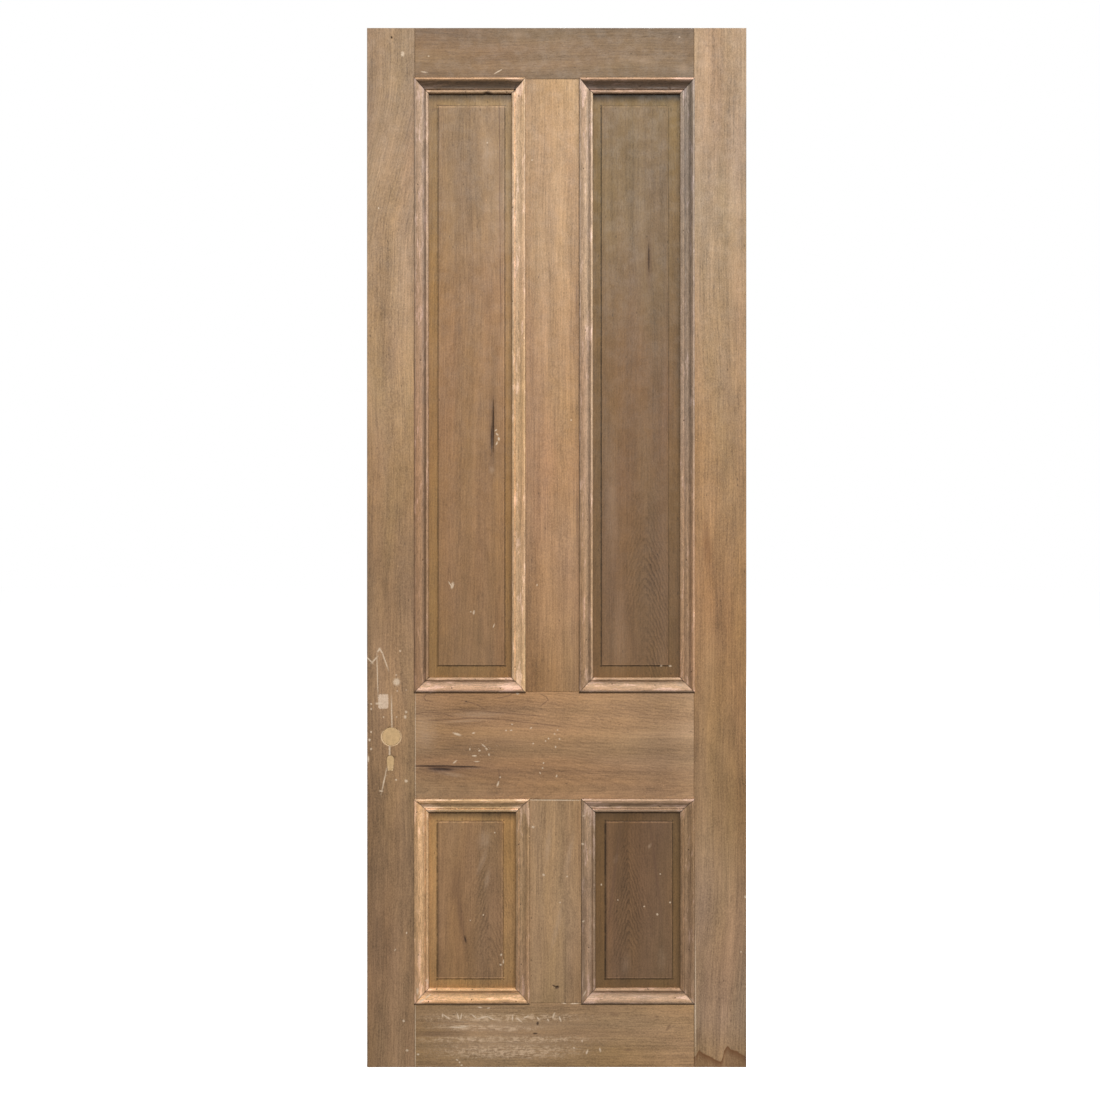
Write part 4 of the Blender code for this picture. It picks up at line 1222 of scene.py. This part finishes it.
def panel_material(opening, seed):
    """Stripped wood for a panel, whose margin is yellower than its field and darkened by painted shade along the
    moulding.
    """
    name = f"{opening}_panel"
    material, shader, place = new_material(f"{name}_old_wood")
    low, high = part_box(name)
    middle = (low + high) / 2
    vector = grain_vector(place, 0, (-middle.x, seed * SEED_SHIFT, -middle.z))
    x, y, z = parts(place)
    brightness, warmth, yellowness = stepped(z, low.z, high.z, PANEL_TONES[opening])
    left, right, bottom, top = field_edges(opening)
    inward = less(top, z), less(right, x), less(z, bottom), less(x, left)
    nearest = least(least(inward[0], inward[1]), least(inward[2], inward[3]))
    front = sums("LESS_THAN", y, 0.0)
    margin = times(spread(nearest, -0.0008, 0.0004, 1.0, 0.0), front)
    gain, warmer, yellower, tilt, top_shade = MARGIN_TONES[opening]
    tilted = spread(x, left, right, gain * (1 + tilt), gain * (1 - tilt), "LINEAR")
    brightness = times(brightness, scaled(margin, less(tilted, 1.0), 1.0))
    brightness = times(brightness, field_lines(place, opening, inward, nearest))
    # Painted shade on the margin, under the top moulding and beside the side mouldings
    painted_shade = margin_shade(place, opening, top_shade)
    tone = (
        times(brightness, spread(front, 0.0, 1.0, 1.0, painted_shade, "LINEAR")),
        scaled(margin, warmer, warmth),
        scaled(margin, yellower, yellowness),
    )
    finish_wood(shader, place, tone, wood_grain(place, vector, opening, seed), vector, name)
    return material


def strip_coordinates(place, side, edges, seed):
    """Coordinates whose X runs in from the opening's edge and Z along the strip."""
    left, right, bottom, top = edges
    quarter = math.pi / 2
    levels = {"bottom": (quarter, -bottom), "top": (-quarter, top)}
    turn, start = {**levels, "left": (0, -left), "right": (math.pi, right)}[side]
    return grain_vector(place, turn, (start, 0, seed * STRIP_SEED_SHIFT))


def moulding_material(opening, side, seed):
    """Stripped wood for a front moulding, its painted highlights and shade set from nose to bead, with dirt in its
    mitres.
    """
    name = f"{opening}_moulding_{side}"
    material, shader, place = new_material(f"{name}_old_wood")
    edges = opening_edges(opening)
    vector = strip_coordinates(place, side, edges, seed)
    across = parts(vector)[0]
    x, _, z = parts(place)
    along, start, end = (x, *edges[:2]) if side in LEVEL_SIDES else (z, *edges[2:])
    keys = (f"{opening} {side}", f"{opening.split('_')[0]} {side}", side)
    painted_bands = next(MOULDING_PAINTED_LIGHT[key] for key in keys if key in MOULDING_PAINTED_LIGHT)
    first, last = painted_bands[0][0], painted_bands[-1][0]
    stops = [((at - first) / (last - first), gain, warmer) for at, gain, warmer in painted_bands]
    jitter = times(swing(vector, (60, 60, 30), 3), 0.0010)
    # gain is painted light: highlights on the nose and bead, shade in the slope and quirk
    gain, warmer = stepped(plus(across, jitter), first, last, stops)
    ends = MOULDING_TONES[opening][SIDES.index(side)]
    tone, warmth, yellowness = stepped(along, start, end, ((0.0, *ends[0]), (1.0, *ends[1])))
    far = least(less(along, start), less(end, along))
    cornered = spread(far, 0.02, 0.08, 0.10, 0.0)
    residue = spread(plus(noise_at(vector, (75, 75, 16), 5, 0.7), cornered), 0.55, 0.66, 0.0, 0.46)
    worn = spread(noise_at(vector, (260, 260, 40), 4, 0.7), 0.32, 0.66, -0.17, 0.17)
    mottled = spread(noise_at(vector, (520, 520, 300), 2, 0.7), 0.35, 0.65, -0.10, 0.10)
    mitre = spread(plus(less(far, across), jitter), 0.0004, 0.0024, 0.50, 1.0)
    dirt = {"Vector": vector, "Scale": 150.0, "Stretch": 0.7, "Amount": 0.30, "Size": 0.34}
    dirt = times(grouped("Specks", dirt)[0], spread(across, 0.0275, 0.0310, 0.0, 0.55))
    tone = (
        times(gain, tone, plus(plus(1.0, residue), plus(worn, mottled)), mitre, less(1.0, dirt)),
        plus(warmer, warmth, times(residue, -0.5)),
        scaled(residue, -1.0, yellowness),
    )
    grain = strip_grain(vector, 0.005, 0.50, 0.06, 0.22)
    finish_wood(shader, place, tone, grain, vector, name, roughness=0.55, bump=0.5)
    return material


def back_moulding_material(opening, side, seed):
    """Plainer wood for a back moulding."""
    name = f"{opening}_back_moulding_{side}"
    material, shader, place = new_material(f"{name}_old_wood")
    vector = strip_coordinates(place, side, opening_edges(opening), seed)
    brightness = spread(noise_at(vector, (70, 70, 6), 3), 0.3, 0.7, 0.34, 0.44)
    grain = strip_grain(vector, 0.006, 0.5, 0.08, 0.2)
    finish_wood(shader, place, (brightness, 0.5, 0.1), grain, vector, name)
    return material


def plug_material(name):
    """Tan filler with a ragged darker rim."""
    colours = bpy.context.scene.door_colours
    material, shader, place = new_material(f"{name}_old_filler")
    low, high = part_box(name)
    middle = (low + high) / 2
    size = (high - low) / 2
    cloudy = noise_at(place, 130, 4, 0.6)
    gain = spread(cloudy, 0.3, 0.7, 0.84, 1.04)
    tint = vectors("MULTIPLY", tuple(colours.filler), packed(gain, gain, gain))
    edge = times(swing(place, 300, 3), 0.14)
    round_one = name.startswith("knob")
    reach, power = (1.0, 2.0) if round_one else (0.93, 3.0)
    rim = mark_mask(place, ((middle, size.x * reach, size.z * reach, 0),), 0.04, edge, power)
    tint = blended(rim, (*[share * 0.5 for share in colours.filler], 1), tint)
    if not round_one:
        foot = spread(parts(place)[2], low.z + 0.004, low.z + 0.016, 0.8, 0.0)
        foot = times(foot, spread(cloudy, 0.42, 0.56))
        tint = blended(foot, tint, (*colours.lip, 1))
    join(tint, shader.inputs["Base Color"])
    shader.inputs["Roughness"].default_value = 0.72
    raised = node("Bump", {"Strength": 0.4, "Distance": 0.0008, "Height": cloudy})
    join(raised.outputs[0], shader.inputs["Normal"])
    return material


class MakeNodeGroups(Operator):
    """Builds the node groups that the materials share"""

    bl_idname = "door.make_node_groups"
    bl_label = "Shared node groups"

    def execute(self, context):
        build_grain()
        build_mark()
        build_specks()
        build_wood_colour()
        return {"FINISHED"}


class MakeStiles(Operator):
    """Dresses the two stiles"""

    bl_idname = "door.make_stiles"
    bl_label = "Stiles"

    def execute(self, context):
        make_board("lock_stile", 1.0)
        make_board("hinge_stile", 2.0)
        return {"FINISHED"}


class MakeRails(Operator):
    """Dresses the top, lock and bottom rails"""

    bl_idname = "door.make_rails"
    bl_label = "Rails"

    def execute(self, context):
        for index, name in enumerate(RAILS):
            make_board(name, 3.0 + index)
        return {"FINISHED"}


class MakeMuntins(Operator):
    """Dresses the upper and lower muntins"""

    bl_idname = "door.make_muntins"
    bl_label = "Muntins"

    def execute(self, context):
        make_board("upper_muntin", 6.0)
        make_board("lower_muntin", 7.0)
        return {"FINISHED"}


class MakePanels(Operator):
    """Dresses the four raised panels"""

    bl_idname = "door.make_panels"
    bl_label = "Panels"

    def execute(self, context):
        for index, opening in enumerate(OPENINGS):
            make_panel(opening, 8.0 + index)
        return {"FINISHED"}


class MakeMouldings(Operator):
    """Dresses the front mouldings"""

    bl_idname = "door.make_mouldings"
    bl_label = "Front mouldings"

    def execute(self, context):
        for index, (opening, side) in enumerate(product(OPENINGS, SIDES)):
            material = moulding_material(opening, side, 12.0 + index)
            make_strip(f"{opening}_moulding_{side}", side, 12.0 + index, material)
        return {"FINISHED"}


class MakeBackMouldings(Operator):
    """Dresses the back mouldings"""

    bl_idname = "door.make_back_mouldings"
    bl_label = "Back mouldings"

    def execute(self, context):
        for index, (opening, side) in enumerate(product(OPENINGS, SIDES)):
            material = back_moulding_material(opening, side, 30.0 + index)
            make_strip(f"{opening}_back_moulding_{side}", side, 30.0 + index, material)
        return {"FINISHED"}


class MakePlugs(Operator):
    """Dresses the filled knob hole and keyhole"""

    bl_idname = "door.make_plugs"
    bl_label = "Filled holes"

    def execute(self, context):
        make_plug("knob_hole_plug", 50.0)
        make_plug("keyhole_plug", 51.0)
        return {"FINISHED"}


def add_light(name, place, target, size, power):
    light = bpy.data.lights.new(name, "AREA")
    light.shape = "RECTANGLE"
    light.size, light.size_y = size
    light.energy = power
    obj = bpy.data.objects.new(name, light)
    obj.location = place
    obj.rotation_euler = (Vector(target) - Vector(place)).to_track_quat("-Z", "Y").to_euler()
    bpy.context.scene.collection.objects.link(obj)


class MakeStage(Operator):
    """Makes the floor, the soft light and the camera"""

    bl_idname = "door.make_stage"
    bl_label = "Floor, light and camera"

    def execute(self, context):
        settings = context.scene.door_stage
        context.scene.view_settings.view_transform = "Standard"
        bm = bmesh.new()
        bmesh.ops.create_circle(bm, cap_ends=True, radius=40, segments=64)
        bmesh.ops.translate(bm, vec=(LEAF_MIDDLE, 0, CAD_LOW.z), verts=bm.verts)
        floor = make_object(bm, "pale_floor")
        material, shader, _ = new_material("pale_floor_paint")
        shader.inputs["Base Color"].default_value = (*settings.floor, 1)
        shader.inputs["Roughness"].default_value = 0.9
        shader.inputs["Emission Color"].default_value = (1, 1, 1, 1)
        shader.inputs["Emission Strength"].default_value = settings.floor_glow
        floor.data.materials.append(material)
        floor.visible_diffuse = False
        floor.visible_glossy = False
        context.scene.collection.objects.link(floor)
        middle = (LEAF_MIDDLE, 0, 0)
        add_light("key_light", (LEAF_MIDDLE + 0.6, -7.0, 3.8), middle, (1.6, 1.6), settings.key_power)
        add_light("back_light", (LEAF_MIDDLE + 1.5, 5.5, 5.5), middle, (3.0, 3.0), settings.back_power)
        world = bpy.data.worlds.new("white_surroundings")
        world.use_nodes = True
        background = world.node_tree.nodes["Background"]
        background.inputs["Color"].default_value = (1, 1, 1, 1)
        seen = node("LightPath", tree=world.node_tree).outputs["Is Camera Ray"]
        join(spread(seen, 0, 1, settings.fill, 1.0, "LINEAR"), background.inputs["Strength"])
        context.scene.world = world
        camera = bpy.data.objects.new("camera", bpy.data.cameras.new("camera"))
        camera.data.sensor_width = 36
        camera.data.lens = settings.lens
        camera.location.x = LEAF_MIDDLE + settings.camera_side
        camera.location.y = FRONT - settings.camera_distance
        camera.location.z = settings.camera_height
        camera.rotation_euler = (math.pi / 2, 0, 0)
        context.scene.collection.objects.link(camera)
        context.scene.camera = camera
        return {"FINISHED"}


STEPS = (
    MakeNodeGroups, MakeStiles, MakeRails, MakeMuntins, MakePanels, MakeMouldings, MakeBackMouldings,
    MakePlugs, MakeStage,
)


class DoorPanel(Panel):
    """Lists the steps and the settings of the door"""

    bl_idname = "DOOR_PT_steps"
    bl_label = "Old panelled door"
    bl_space_type = "VIEW_3D"
    bl_region_type = "UI"
    bl_category = "Door"

    def draw(self, context):
        for step in STEPS:
            self.layout.operator(step.bl_idname)
        for name, group in SETTINGS.items():
            box = self.layout.box()
            for label in group.__annotations__:
                box.prop(getattr(context.scene, name), label)


def register():
    for group in SETTINGS.values():
        bpy.utils.register_class(group)
    for name, group in SETTINGS.items():
        setattr(bpy.types.Scene, name, PointerProperty(type=group))
    for step in (*STEPS, DoorPanel):
        bpy.utils.register_class(step)


def unregister():
    for step in reversed((*STEPS, DoorPanel)):
        bpy.utils.unregister_class(step)
    for name, group in SETTINGS.items():
        delattr(bpy.types.Scene, name)
        bpy.utils.unregister_class(group)


def main():
    register()
    for step in STEPS:
        area, name = step.bl_idname.split(".")
        getattr(getattr(bpy.ops, area), name)()


if __name__ == "__main__":
    main()
